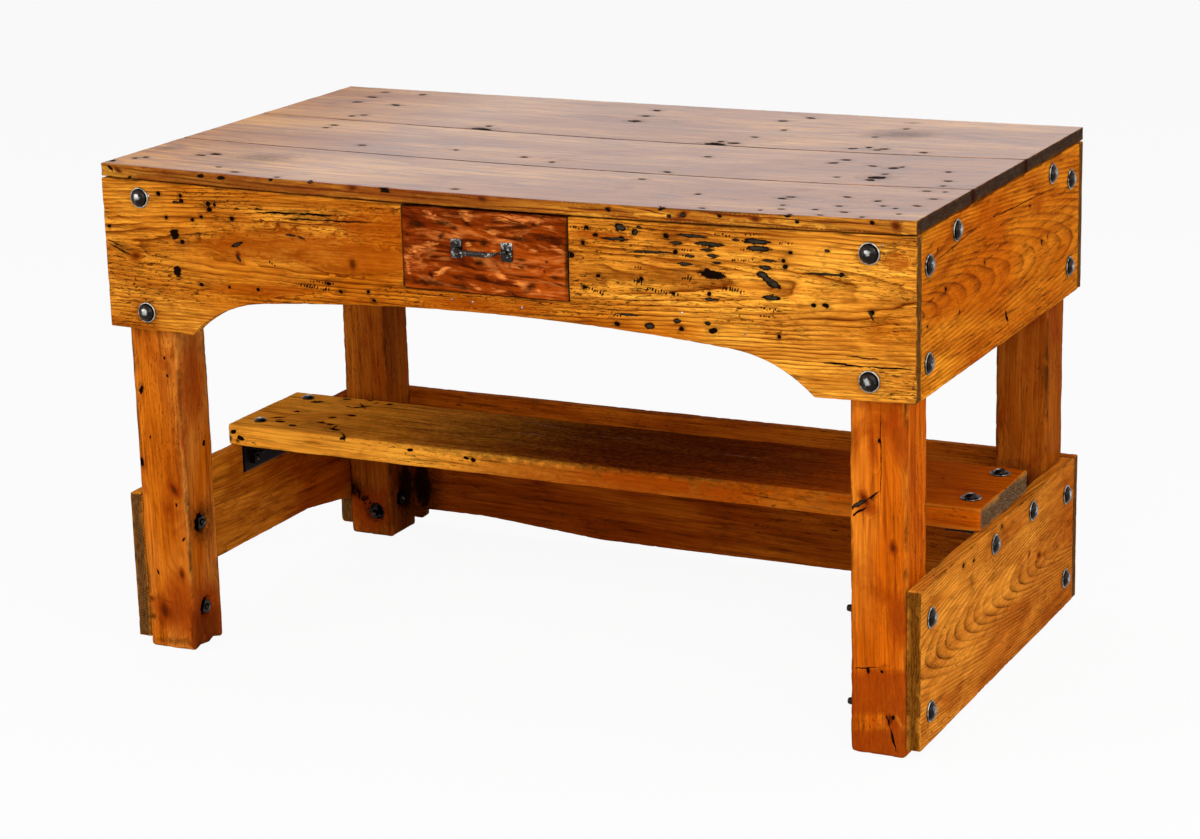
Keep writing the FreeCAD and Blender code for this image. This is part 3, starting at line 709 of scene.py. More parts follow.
    def turn(self):
        """Sawn end grain, and painted light and shade: the board's narrow sides made lighter or darker than
        its broad faces.
        """
        spec = self.spec
        normal = self.split(self.node("TexCoord").outputs["Normal"])
        grain, face = self.axes
        self.cut = self.span(self.math("ABSOLUTE", normal[grain]), 0.6, 0.9)
        facing = self.math("ABSOLUTE", normal[face])
        self.broad = self.span(facing, 0.5, 0.9, spec["side_coat"], spec["coat"])
        # Painted light and shade: the narrow sides are lighter than the broad faces on the worktop and
        # shelf, darker on the front left and rear posts.
        self.colour = self.tinted(self.colour, self.span(facing, 0.5, 0.9, spec["side_tone"], 1.0))
        end = self.mix(self.times(self.rings, 0.9), hexed(spec["end"]), hexed("140A06"))
        saw = self.figure(60.0, 70.0, 3.0, 0.6, deep=420.0)
        self.cover(self.cut, self.tinted(end, self.span(saw, 0.3, 0.7, 0.5, 1.45)))

    def wear(self):
        """Arrises rubbed pale or black with dirt, and specks of dirt all over."""
        spec = self.spec
        self.cover(self.times(self.edge, self.span(self.patches, 0.35, 0.65, 0.0, spec["wear"])), "light")
        self.cover(self.times(self.edge, self.span(self.grime, 0.42, 0.6, 0.0, spec["soil"])), "2A1206")
        self.cover(self.times(self.span(self.grime, 0.6, 0.75), spec["dirt"]), "3A1A06")

    def mark(self):
        """The stains, scuffs, knots and holes that the mesh carries."""
        ragged = self.rest(self.figure(90.0, 190.0, 4.0, 0.68, 0.4))
        wisps = self.rest(self.figure(28.0, 130.0, 4.0, 0.62, 1.4))
        stain, light, knot, pit = self.stain, self.light, self.knot, self.pit
        # The stain share also carries painted shade, over the shelf's middle.
        self.soaked = self.soak(stain, self.plus(stain, ragged, 1.3), 0.05, 0.95, (0.02, 0.12))
        self.cover(self.soaked, "2A1004")
        self.cover(self.soak(light, self.plus(light, wisps, 3.0), 0.3, 1.1, (0.02, 0.2)), "scuff")
        heartwood = self.times(self.plus(knot, wisps, 0.5), self.span(knot, 0.02, 0.2))
        self.cover(self.span(heartwood, 0.05, 0.5, 0.0, 0.75), "flush")
        self.cover(self.span(heartwood, 0.5, 0.9, 0.0, 0.8), "421604")
        self.black = self.soak(pit, self.plus(pit, ragged, 2.4), 0.22, 0.42, (0.03, 0.12))
        sooty = self.span(self.plus(light, ragged, 2.0), 0.2, 1.0)
        self.cover(self.black, self.mix(sooty, hexed("140905"), hexed("3C3529")))

    def varnish(self):
        """A worn satin coat, dull where the wood is cut, torn or soaked."""
        spec = self.spec
        torn = self.math("MAXIMUM", self.black, self.cut)
        rough = self.span(self.clouds, 0.3, 0.7, spec["rough"] * 0.8, spec["rough"] * 1.25)
        rough = self.plus(self.plus(rough, self.pores, 0.08), torn, 0.4, clamp=True)
        height = self.times(self.rings, 0.5)
        for layer, share in ((self.fibres, 0.45), (self.pores, 0.2), (self.grime, 0.5), (self.dashes, -0.8)):
            height = self.plus(height, layer, share)
        dull = self.math("MAXIMUM", self.math("MAXIMUM", self.black, self.cut), self.times(self.soaked, 0.7))
        shine = self.times(self.math("SUBTRACT", 1.0, dull), self.broad, clamp=True)
        if spec["coat_fade"]:
            start, end, least = spec["coat_fade"]
            wandering = self.plus(self.along, self.patches, 0.06)
            shine = self.times(shine, self.span(wandering, start, end, least, 1.0))
        return self.output(self.node("BsdfPrincipled", {
            "Base Color": self.colour, "Roughness": rough, "Normal": self.bump(height, 0.0007),
            "Specular IOR Level": spec["gloss"], "Coat Weight": shine, "Coat Roughness": 0.14,
        }))


def wood(name, grain, face, **changes):
    """Old pine with its growth rings, fibres, stains and worn arrises under varnish."""
    pine = Wood(name, grain, face, changes)
    for step in (pine.grow, pine.speckle, pine.turn, pine.wear, pine.mark):
        step()
    return pine.varnish()


def steel(name, base, worn, rough, rust=0.25, scale=130.0):
    """Worn dark steel: patches rubbed bright, painted highlights and polish laid by each point's value, a
    little rust and fine pitting.
    """
    paint = Paint(bpy.data.materials.new(name))
    where = paint.object_place()
    patches = paint.noise(where, scale, 4.0, 0.65, 0.5)
    grit = paint.noise(where, 900.0, 3.0, 0.6)
    polish_and_highlight = paint.node("Attribute", attribute_name="polish_and_highlight").outputs["Fac"]
    # Each point's value lays the pale colour: painted highlights on the bolt domes, washer rims and pull,
    # polish on the nail and screw heads.
    rubbed = paint.plus(polish_and_highlight, paint.rest(patches), 2.4)
    bright = paint.times(paint.span(rubbed, 0.3, 0.95), paint.span(polish_and_highlight, 0.0, 0.15))
    bright = paint.math("MAXIMUM", bright, paint.span(patches, 0.6, 0.8, 0.0, 0.3))
    rusted = paint.times(paint.span(paint.noise(where, 60.0, 5.0, 0.7, 1.0), 0.55, 0.72), rust)
    scratched = paint.plus(paint.plus(rough - 0.06, grit, 0.18), rusted, 0.4, clamp=True)
    return paint.output(paint.node("BsdfPrincipled", {
        "Base Color": paint.mix(rusted, paint.mix(bright, hexed(base), hexed(worn)), hexed("341808")),
        "Roughness": scratched, "Metallic": paint.span(rusted, 0.0, 1.0, 1.0, 0.2),
        "Normal": paint.bump(paint.plus(grit, patches, 0.8), 0.0004),
    }))


# Marks by pixel

HOLE = {"depth": 3.0, "pit": 1.0, "halo": 0.42, "soft": 0.3}
PLANK_HOLE = {**HOLE, "depth": 0.4, "longer": 1.2, "wider": 1.3}
DOT = {"depth": 1.2, "pit": 0.9, "halo": 0.18, "soft": 0.4}
GOUGE = {"depth": 1.3, "pit": 1.0, "light": 0.9, "halo": 0.16, "soft": 0.5, "pointed": True}
CRACK = {"depth": 1.0, "pit": 1.0, "halo": 0.2, "soft": 0.5, "pointed": True, "wavy": 0.5}
SCRATCH = {"depth": 0.6, "pit": 0.9, "light": 0.3, "soft": 0.6}
SHADE = {"stain": 0.55, "soft": 0.9, "fine": False}
GLOW = {"light": 0.9, "soft": 0.9, "fine": False}
KNOT = {"knot": 1.0, "stain": 0.5, "soft": 0.7, "fine": False}
# Soft black patches with a dark halo and a slight pit.
BLACK_PATCH = {"stain": 1.6, "pit": 0.35, "halo": 0.7, "soft": 0.7, "fine": False}
RUDDY = {"tint": 0.6, "stain": 0.1, "soft": 0.8, "fine": False}
TIDE = {"tint": 0.5, "stain": 0.2, "soft": 0.22, "fine": False}
FLAME = {"tint": 0.42, "soft": 0.3, "fine": False, "pointed": True}
STREAK = {"tint": 0.75, "stain": 0.62, "soft": 0.6, "fine": False, "pointed": True, "wavy": 0.5}
IRON_STAIN = {"stain": 0.4, "soft": 0.9, "fine": False}
POCKET = {"depth": 15.0, "stain": 0.95, "soft": 0.03, "halo": 0.6}
SEAM = {"stain": 1.0, "soft": 0.5, "fine": False}
STAIN = {**SHADE, "stain": 0.6, "longer": 1.6}
WARM = {**SHADE, "knot": 0.5, "stain": 0.2, "longer": 1.8}

POCKET_RADIUS = 19.5
IRON_RADIUS = 23.0
# Seams lie this near to the middle of the top's depth, so that its outer edges are left out
SEAM_REACH = 200.0


def pixel_marks(node, tables):
    """Marks at (u, v, radius), or from (u, v) to (u, v) with a width, in pixels."""
    grain = GRAIN[grain_axis(node)]
    lean = np.roll(grain, 1) + np.roll(grain, 2)
    found = []
    for face, looks, rows in tables:
        looks = dict(looks)
        longer = looks.pop("longer", 1.0)
        wider = looks.pop("wider", 1.0)
        random = np.random.default_rng(len(rows))
        for row in rows:
            place = start = spot(row[0], row[1], node, face)
            if len(row) == 3:
                size = row[2] * wider * pixel_size(place) * random.uniform(0.75, 1.05)
                along = grain + lean * random.normal(0, 0.25)
                long_radius = size * longer * random.uniform(0.85, 1.6)
            else:
                end = spot(row[2], row[3], node, face)
                place = (start + end) / 2
                along = end - start
                size = row[4] * pixel_size(place) * 0.53
                long_radius = max(np.linalg.norm(along) / 2, size * 1.05)
            found.append(Mark(place, face, along, long_radius, size, **looks))
    return found


def ladders(node, face, rows, seed):
    """Rows of short cross scratches between two pixels, as beetles leave them."""
    random = np.random.default_rng(seed)
    lines = []
    for u1, v1, u2, v2, reach in rows:
        steps = max(3, int(math.hypot(u2 - u1, v2 - v1) / 2.6))
        for share in (np.arange(steps) + 0.5) / steps:
            u = u1 + (u2 - u1) * share + random.normal(0, 0.4)
            v = v1 + (v2 - v1) * share + random.normal(0, 0.5)
            lean = random.uniform(0.1, 0.7) * reach
            half = reach * random.uniform(0.35, 1.0)
            lines.append((u + lean / 2, v - half, u - lean / 2, v + half, random.uniform(1.1, 2.1)))
    return pixel_marks(node, [(face, SCRATCH, lines)])


def seam_marks(node):
    """The dirt along a plank's seams, and the stains that lie on it."""
    low, high = node_box(node)
    found = []
    for level in (low[1], high[1]):
        if abs(level) < SEAM_REACH:
            place = np.array((0.0, level, high[2]))
            found.append(Mark(place, TOP, GRAIN[0], HALF_LENGTH * 1.02, 2.2, **SEAM))
            for end in (low[0], high[0]):
                corner = np.array((end, level, (low[2] + high[2]) / 2))
                found.append(Mark(corner, REAR, GRAIN[2], 16.0, 6.0, **SEAM))
    for looks, rows in ((STAIN, TOP_STAINS), (WARM, TOP_WARM)):
        for row in rows:
            if low[1] < spot(row[0], row[1], node, TOP)[1] < high[1]:
                found += pixel_marks(node, [(TOP, looks, [row])])
    return found


def seats(node):
    """The box of each separate solid of a node, as its low corner, high corner and middle."""
    points = node_points(node)
    label = np.unique(np.round(points, 2), axis=0, return_inverse=True)[1].ravel()
    corners = np.array([tuple(face.vertices) for face in frame["nodes"][node].data.polygons])
    while True:
        lowest = np.arange(label.max() + 1)
        least = label[corners].min(1)
        for column in corners.T:
            np.minimum.at(lowest, label[column], least)
        if np.all(lowest[label] == label):
            break
        label = lowest[label]
    boxes = [(points[label == k].min(0), points[label == k].max(0)) for k in np.unique(label)]
    return [(low, high, (low + high) / 2) for low, high in boxes]


def pocket_marks(node):
    """Sunk places for the nuts in a post, black with old iron stain."""
    low, high = node_box(node)
    found = []
    for row, (axis, outward) in ROWS.items():
        for _, _, place in seats(row + "_nuts"):
            if np.all(place > low) and np.all(place < high):
                place[axis] = low[axis] if outward > 0 else high[axis]
                found.append(Mark(place, (axis, -outward), GRAIN[2], POCKET_RADIUS, POCKET_RADIUS, **POCKET))
    return found


def iron_marks(node, face):
    """Dark rings soaked into the wood round the bolts that stand on a face."""
    low, high = node_box(node)
    axis = face[0]
    level = face_level(node, face)
    flat = FLAT_AXES[axis]
    along = GRAIN[0 if axis else 1]
    found = []
    for row in [row for row in ROWS if ROWS[row][0] == axis]:
        for _, _, place in seats(row + "_washers"):
            on_board = np.all(place[flat] > low[flat]) and np.all(place[flat] < high[flat])
            if abs(place[axis] - level) < 6 and on_board:
                place[axis] = level
                found.append(Mark(place, face, along, IRON_RADIUS * 1.15, IRON_RADIUS, **IRON_STAIN))
    return found


# Tables of marks: for each board, the face, the looks and the pixels
MARKS = {
    "top_plank_front": (
        (TOP, PLANK_HOLE, (
            (642, 179, 2.4), (698, 194, 2.4), (791, 197, 2.4), (782, 198.5, 2.2), (783, 205, 2.2),
            (781, 209, 2.2), (760, 210, 2), (702, 208, 2), (847, 197, 2.4), (839, 206, 2.4),
            (815, 209.5, 2.4), (820, 215, 2), (878, 201, 3), (883, 206, 2.4), (895.5, 208.5, 2.2),
            (927, 191, 2.2), (945, 192, 2.2), (934, 199, 2.2), (917, 206, 2.2), (899, 214, 2.2),
            (844, 212, 2), (862, 217, 2), (216, 154, 4), (201, 155, 3), (135, 158, 2.6), (145.5, 157, 2.6),
            (219, 167, 2), (235, 172, 2), (277, 177, 2), (310, 182.6, 2), (384.5, 188, 2.6), (349, 188, 2),
            (431, 197, 2), (455, 189, 2), (110, 160, 3.4),
        )),
        (FRONT, {**DOT, "longer": 1.5}, (
            (110, 168, 2), (129, 178, 2.4), (200.5, 176, 2), (221, 178, 2), (270, 180, 2), (310, 182, 2),
            (608, 210, 2), (661, 209, 2), (669, 216, 2.2), (719, 216, 2.4), (788, 216, 2), (797, 222, 2.2),
            (872, 223, 2.2),
        )),
        (FRONT, {**KNOT, "stain": 0.6, "longer": 1.4}, (
            (352, 188, 5), (384, 190, 4), (200, 176, 4), (896, 226, 7), (682, 215, 6), (482, 199, 5),
            (608, 209, 4), (118, 170, 4), (755, 219, 4),
        )),
        (FRONT, GOUGE, ((680, 214.6, 686, 215.4, 5),)),
        (FRONT, RUDDY, ((60, 166, 390, 196, 30), (300, 185, 560, 206, 16))),
        (FRONT, {**GLOW, "light": 0.6}, (
            (470, 201, 600, 210, 7), (612, 213, 690, 216, 6), (712, 220, 850, 229, 7),
            (895, 235, 915, 236, 5), (540, 211, 620, 217, 4), (760, 217, 840, 224, 4),
        )),
        (FRONT, STREAK, (
            (106, 166, 216, 179, 2), (120, 171, 280, 190, 1.8), (200, 178, 372, 194, 2.4),
            (290, 186, 400, 196, 1.6), (366, 193, 478, 203, 2.2), (384, 189, 506, 202, 1.6),
            (470, 204, 600, 213, 1.6), (560, 207, 640, 213, 2), (600, 214, 652, 220, 1.6),
            (636, 208, 668, 215, 1.8), (650, 217, 720, 223, 1.8), (686, 211, 776, 219, 2),
            (726, 221, 836, 230, 1.8), (748, 216, 846, 224, 1.6), (776, 226, 905, 234, 1.6),
            (800, 219, 888, 226, 2),
        )),
    ),
    "top_plank_middle": (
        (TOP, PLANK_HOLE, (
            (833.5, 163, 2.6), (846, 160, 3), (872.5, 166, 2.4), (877, 177.6, 5), (870, 180, 2.6),
            (885, 174, 2.4), (894, 168, 3), (902, 167, 2.4), (837, 177, 2), (948.5, 172, 2.4),
            (948, 181, 2.2), (943, 186, 2.2), (334, 125, 2.6), (326, 127.5, 2.6), (362.5, 145, 2.2),
            (456, 150, 2), (524, 157, 2.4), (552, 162, 2.2), (667, 172, 2.2), (714, 183, 2),
            (708, 156.7, 2.4),
        )),
    ),
    "top_plank_rear": (
        (TOP, PLANK_HOLE, (
            (634.5, 121, 3), (646, 116, 3.2), (657, 110.5, 2.4), (783, 121, 2.4), (811, 118, 2.2),
            (755, 137, 2.4), (784, 130, 2.4), (875, 137, 2.2), (906, 129, 2.4), (853, 148.5, 2.6),
            (869, 147.5, 2.4), (877, 150, 2.6), (884, 149, 2.2), (923.5, 152.6, 2.2), (422.6, 94.7, 2.4),
            (396, 105, 2.4), (384.5, 92, 2.4), (372, 97, 2.6), (357.5, 102, 2.2), (352, 116, 2.4),
            (364, 115, 2), (715, 144, 5), (707, 147.5, 2.6), (721, 141.5, 3), (733.5, 143, 3.4),
            (481, 129.5, 6), (489, 126, 2.4), (474, 131, 2.4),
        )),
    ),
    "front_apron": (
        (FRONT, HOLE, (
            (158, 194, 2.2), (180, 196, 2.2), (181, 201, 2.2), (207.5, 204, 2.4), (209, 210, 2.2),
            (214, 205, 1.8), (166, 217.5, 2), (192, 220, 2.2), (201, 217, 1.8), (231, 219, 2.2),
            (182, 242, 2.2), (201.4, 284.8, 1.8), (229.2, 287.4, 2.2), (257.9, 289.9, 2), (109, 226, 2),
            (328, 284, 1.8), (340.5, 292, 2), (368, 292, 2), (373.6, 301, 2.2), (813.5, 305.6, 2.4),
            (825.4, 306, 2.4), (871.6, 313, 3.2), (677, 321, 2.6), (681, 329, 2.4), (713, 331, 3),
            (707, 324, 2.2), (779, 337, 2.6), (617, 324, 2.2), (649, 325, 2.2), (586, 227.5, 2.2),
            (595, 235, 2.4), (582.5, 243, 2.4), (571, 255, 3), (584, 287, 2.2), (709, 294, 2.6),
            (641, 279, 2.4), (598, 276, 2.2), (673, 294, 2.2), (633, 232.5, 2.2), (665.6, 236, 2.8),
            (783, 261, 2.4), (785, 267, 2.2), (790, 253, 2.2), (841, 275, 2.8), (621, 239, 3),
            (675, 252, 3.2),
        )),
        (FRONT, GOUGE, (
            (620, 227, 626, 228, 3), (636, 227, 642, 228, 3), (601, 238, 630, 240, 3),
            (675, 234.5, 708, 237.5, 3.6), (731, 239.5, 740, 240.5, 3), (740, 240.6, 772, 242.6, 5.5),
            (745, 248, 773, 250, 5.5), (669, 242.4, 684, 243.6, 3), (693, 243.6, 725, 245.4, 5),
            (699, 249.4, 715, 250.6, 3), (629, 251.4, 673, 252.8, 2.6), (684, 255.6, 695, 256.6, 3),
            (706, 255.6, 719, 256.6, 3.6), (712, 262.6, 723, 263.6, 3), (676, 263.4, 693, 264.6, 3.4),
            (761, 260.4, 776, 261.6, 3), (758, 267.2, 772, 268.8, 5), (760, 275, 782, 290, 8),
            (761, 297.2, 781, 298.8, 5.5), (805, 273, 849, 276, 2.6), (824, 250, 831, 252, 3),
            (702, 299, 720, 300, 3), (615, 313.4, 641, 316, 2.6), (172, 201.8, 179, 202.4, 2.6),
            (284, 234.6, 296, 236, 2.2), (296, 236, 305, 239.4, 2.2), (231, 247, 243, 242, 4),
            (236, 255, 241, 262, 3.4), (868, 310, 874, 322, 2.2), (614, 226, 626, 229, 8),
            (632.6, 236, 636, 229, 6.5), (644, 326, 655, 326.6, 6), (673, 321, 681, 321.6, 5),
            (704, 323, 711, 324, 4), (756, 273, 768, 277, 7),
        )),
        (FRONT, SHADE, (
            (254, 211, 330, 215, 7), (282, 217, 332, 220, 6), (330, 219, 372, 222, 5),
            (350, 254, 353, 275, 9), (106, 240, 144, 258, 12), (131, 256, 141, 256, 9),
            (885, 253, 899, 253, 12), (495, 311, 560, 316, 4),
        )),
        (FRONT, {**SHADE, "stain": 0.3}, (
            (196, 238, 283, 252, 26), (240, 246, 330, 262, 20), (240, 228, 300, 240, 14),
            (640, 270, 700, 276, 10), (300, 262, 380, 272, 14), (560, 300, 620, 308, 12),
        )),
        (FRONT, CRACK, (
            (256, 212.4, 300, 213.6, 2), (296, 213.6, 332, 215.6, 2.2), (285, 218.6, 322, 220.4, 1.6),
            (318, 220.4, 372, 223, 1.5), (252, 209, 262, 209.6, 1.4), (110, 244, 132, 256, 1.6),
            (104, 238, 124, 247, 1.2), (820, 362, 868, 367.4, 2), (862, 367, 912, 369.6, 1.6),
            (846, 356, 880, 360, 1.4), (640, 357, 700, 362, 1),
        )),
        (FRONT, {**GOUGE, "light": 0.1, "pointed": False}, (
            (177.2, 265.6, 177.8, 276.4, 9), (699, 272, 724, 277, 8), (703, 270, 712, 277, 9),
            (174.4, 231, 174.6, 237, 10), (752, 247.4, 763, 249.4, 5),
        )),
        (FRONT, KNOT, ((352, 254, 353, 275, 14), (128, 256, 144, 256, 13), (233, 252, 243, 256, 10))),
        (FRONT, FLAME, (
            (195, 243, 371, 246, 34), (283, 256, 430, 262, 30), (330, 222, 470, 240, 34),
            (880, 262, 912, 262, 20), (420, 300, 560, 312, 14), (560, 232, 640, 240, 10),
            (200, 288, 330, 292, 12),
        )),
    ),
    "right_apron": (
        (RIGHT, {**HOLE, "longer": 1.2}, (
            (946, 289, 2.6), (1042, 242, 2.4), (1048, 236, 2.2), (938, 250, 2), (928, 327, 2),
            (1030, 206, 1.8), (985, 262, 1.8), (960, 312, 1.8),
        )),
        (RIGHT, CRACK, (
            (1005, 311, 1008.5, 323, 4), (930, 266, 984, 222, 0.9), (984, 222, 1058, 186, 0.9),
        )),
        (RIGHT, SHADE, (
            (929, 262, 946, 244, 5), (925, 284, 938, 276, 4), (929, 292, 950, 280, 4),
            (928, 250, 935, 240, 4), (926, 305, 936, 296, 3),
        )),
    ),
    "front_right_post": (
        (FRONT, CRACK, (
            (880.6, 405, 880.8, 512, 0.8), (849.5, 517, 867, 507, 2.4), (866, 501, 879, 491.5, 1.8),
            (853, 668.5, 877, 667.5, 1.2), (886, 715, 890, 728, 2), (890, 728, 896, 752, 2.4),
        )),
        (FRONT, SHADE, (
            (851, 507, 864, 503, 6), (862, 504, 877, 495, 6), (862, 690, 864, 745, 5),
            (893, 700, 896, 748, 6), (880, 725, 881, 750, 8), (905, 640, 909, 745, 5),
        )),
        (FRONT, RUDDY, (
            (893, 410, 905, 470, 26), (895, 590, 902, 650, 22), (870, 425, 876, 470, 10),
            (856, 505, 880, 512, 14),
        )),
        (FRONT, TIDE, ((740, 692, 1020, 692, 46), (892, 676, 906, 730, 12))),
        (FRONT, {**TIDE, "stain": 0.4}, ((740, 752, 1020, 750, 44), (893, 716, 897, 760, 14))),
        (FRONT, GOUGE, ((851, 507.5, 867, 500, 4.5),)),
        (FRONT, {**HOLE, "longer": 1.2}, (
            (868, 671, 1.6), (881.5, 672, 1.8), (879, 441, 1.3), (893, 718, 1.8),
        )),
        (FRONT, {**KNOT, "longer": 1.5}, ((865, 500, 8), (893, 548, 6), (890, 720, 6))),
    ),
    "front_left_post": (
        (FRONT, {**DOT, "longer": 1.6}, (
            (141.5, 462, 2.4), (141, 390, 2.2), (164, 358, 1.3), (167, 376, 1.4), (183.5, 539.6, 1.6),
            (176, 505, 1.1), (150, 437, 1.1), (158, 572, 1.1), (190, 480, 1.2),
        )),
        (FRONT, {**KNOT, "longer": 1.5}, ((174, 490, 8), (165, 610, 11), (182, 575, 5))),
        (RIGHT, {**DOT, "longer": 1.5}, ((204, 443, 2.4),)),
        (RIGHT, SHADE, ((204, 505, 209, 560, 9), (208, 585, 214, 620, 8))),
        (FRONT, SHADE, (
            (147, 604, 150, 620, 10), (150, 640, 200, 642, 8), (144, 560, 150, 590, 7),
            (141, 455, 143, 470, 6), (140, 382, 143, 392, 6), (176, 400, 180, 470, 3),
        )),
        (FRONT, RUDDY, (
            (178, 570, 182, 640, 40), (172, 486, 182, 494, 12), (150, 600, 190, 626, 26),
            (182, 420, 186, 460, 10),
        )),
        (FRONT, {**SHADE, "stain": 0.8}, (
            (148, 597, 155, 600, 6), (149, 614, 157, 617, 7), (157, 597, 175, 604, 3),
            (158, 615, 175, 608, 3),
        )),
        (RIGHT, RUDDY, ((190, 330, 192, 430, 44),)),
        (RIGHT, {**RUDDY, "tint": 0.8, "stain": 0.45}, ((204, 606, 207, 656, 90),)),
    ),
    "rear_left_post": (
        (RIGHT, BLACK_PATCH, ((404, 462, 407, 512, 26),)),
        (FRONT, BLACK_PATCH, ((347, 482, 375, 508, 11), (372, 510, 378, 514, 20))),
        (FRONT, RUDDY, ((350, 508, 390, 512, 44),)),
    ),
    "right_lower_board": (
        (RIGHT, {**HOLE, "longer": 1.2}, ((1002.6, 527, 2.6), (974, 561, 2.2), (963.6, 566, 2.4))),
        (RIGHT, {**KNOT, "longer": 1.4}, ((1039, 555, 6), (1029, 555, 4))),
    ),
    "rear_lower_board": (
        (FRONT, BLACK_PATCH, ((421, 462, 424, 510, 20), (345, 480, 348, 512, 8))),
    ),
    "foot_shelf": (
        (TOP, {**DOT, "longer": 1.4, "wider": 1.5}, (
            (321, 422, 2.4), (330.5, 424, 2.2), (335, 429, 2.2), (293, 425, 2), (297, 411, 2),
            (317, 401.5, 2.2), (347, 399, 2), (334, 395, 2.2), (370.5, 400, 2), (389, 404, 2),
            (352, 415, 2), (280, 421, 2.4),
        )),
        (TOP, {**SHADE, "stain": 1.0, "soft": 0.5}, (
            (270, 417.6, 288, 416.6, 5), (276, 420, 283, 419, 3), (328, 418, 337, 417, 7),
            (350, 408, 372, 406, 6), (345, 405.6, 352, 407.6, 3), (372, 404, 380, 402, 3),
            (319, 422.6, 327, 423.6, 3), (331, 429, 338, 425, 3), (330, 395, 340, 395.6, 3),
            (314, 401, 322, 402, 4), (360, 403, 366, 409, 3),
        )),
        (FRONT, {**DOT, "longer": 1.5}, (
            (233, 432, 2.6), (240.5, 438, 2.6), (342, 438, 2), (410, 450, 2), (466, 458, 2), (473, 460, 2),
        )),
        (FRONT, {**RUDDY, "tint": 0.5, "stain": 0.15}, ((440, 466, 780, 500, 24),)),
        (TOP, {**GLOW, "light": 0.5}, (
            (480, 428, 585, 440, 2), (590, 436, 640, 439, 4), (520, 420, 560, 428, 2),
            (700, 452, 760, 458, 3),
        )),
        (FRONT, {**SHADE, "stain": 0.9}, ((228, 436, 231, 440, 7), (236, 440, 240, 442, 5))),
    ),
    "drawer_front": (
        (FRONT, {**GLOW, "light": 0.75}, (
            (422, 211, 437, 216, 7), (457, 212, 476, 216, 8), (478, 216, 556, 223, 7),
            (542, 224, 558, 230, 6), (450, 232, 463, 239, 7), (482, 231, 503, 235, 6),
            (490, 239, 516, 244.6, 8), (404, 251, 443, 240, 8), (404, 255, 421, 247, 7),
            (405.6, 256, 410, 276, 5), (465, 242, 472, 247, 6), (490, 249, 497, 252, 6),
            (551, 247.6, 567, 254, 7), (432, 275, 450, 268, 6), (494, 270, 507, 280, 7),
            (488, 289, 511, 294, 5), (468, 284, 487, 291, 5), (509, 266, 522, 269, 5),
            (536, 286, 541, 296, 4), (527, 250, 538, 251, 4), (462, 217, 470, 221, 5),
            (510, 282, 530, 286, 4),
        )),
        (FRONT, {**SHADE, "stain": 0.85}, (
            (433, 222, 454, 224, 6), (448, 227, 460, 228.4, 4), (462, 221, 470, 225, 4),
            (438, 240, 445, 231, 5), (509, 224.6, 531, 228, 8), (528, 224, 541, 225.4, 5),
            (507, 237.6, 534, 240.4, 6), (533, 237, 546, 239.4, 7), (517, 259.6, 527, 260.4, 4),
            (515, 267, 525, 268.4, 3), (472, 262, 485, 264.4, 6), (524, 292, 537, 283, 8),
            (429, 270, 433, 279, 4), (450, 275, 465, 280, 4), (411, 279, 451, 285.6, 6),
            (449, 284, 471, 288.6, 5), (545, 261, 548, 263, 3), (543, 271, 546, 273, 3),
            (549, 277, 565, 279.4, 4), (405, 290, 470, 293, 3), (408, 222, 425, 226, 9),
            # The row from (566, 225) to (567, 300), a dark strip down the right edge beside the gap, is
            # painted shade.
            (480, 240, 488, 246, 9), (566, 225, 567, 300, 5),
        )),
    ),
}
APRON_LADDERS = (
    (633, 267, 643, 268, 2.2), (633, 280, 643, 283, 3.6), (646, 289, 679, 295, 2.6),
    (580, 285, 604, 294, 2.4), (681, 277, 692, 279, 3.8), (713, 234.6, 730, 235.6, 1.4),
    (744, 234, 763, 235.6, 1.4), (680, 250, 692, 251, 1.8), (681, 256, 695, 257, 1.8),
    (739, 249.6, 751, 250.4, 1.6), (731, 260, 753, 261, 1.4), (610, 313, 622, 316, 2),
    (760, 308, 777, 310, 1.6), (759, 316, 777, 317.4, 1.2), (569, 227, 591, 229.6, 1.8),
    (778, 243, 793, 244, 1.6), (268, 262, 276, 266, 2), (300, 285, 330, 290, 2.4),
    (310, 281, 334, 284, 1.6), (722, 288, 745, 292, 3),
)
APRON_NAILS = (
    (148, 196, 2.2), (682, 313, 1.8), (745, 334, 1.8), (883, 245.5, 1.8), (452.1, 299.5, 1.8),
    (472.6, 301.8, 1.8), (522, 307.6, 1.8),
)
TOP_STAINS = (
    (264, 158, 26), (167, 148, 12), (902, 134.5, 28), (913, 123, 7), (646, 116, 8), (396, 105, 8),
)
TOP_WARM = (
    (624, 188, 9), (547, 158, 7), (565, 160, 8), (801, 190, 12), (642, 179, 6),
)


# Bolts, washers and nails turned from profiles

SHANK_RADIUS = 6.35
THREAD_PITCH = 1.95
THREAD_DEPTH = 0.75
THREAD_LENGTH = 34.0
TAIL_CUTS = {"left_lower_board_bolts": 7.0}
# The two bolts of the right lower board in front of this place stand out by a stub
STUB = 13.0
STUB_PLACE = -300.0
HEAD_HEIGHT = 7.0
HEAD_SPREAD = 1.07
HEAD_SPREADS = {"foot_shelf_bolts": 0.9}
WASHER_SPREAD = 1.04


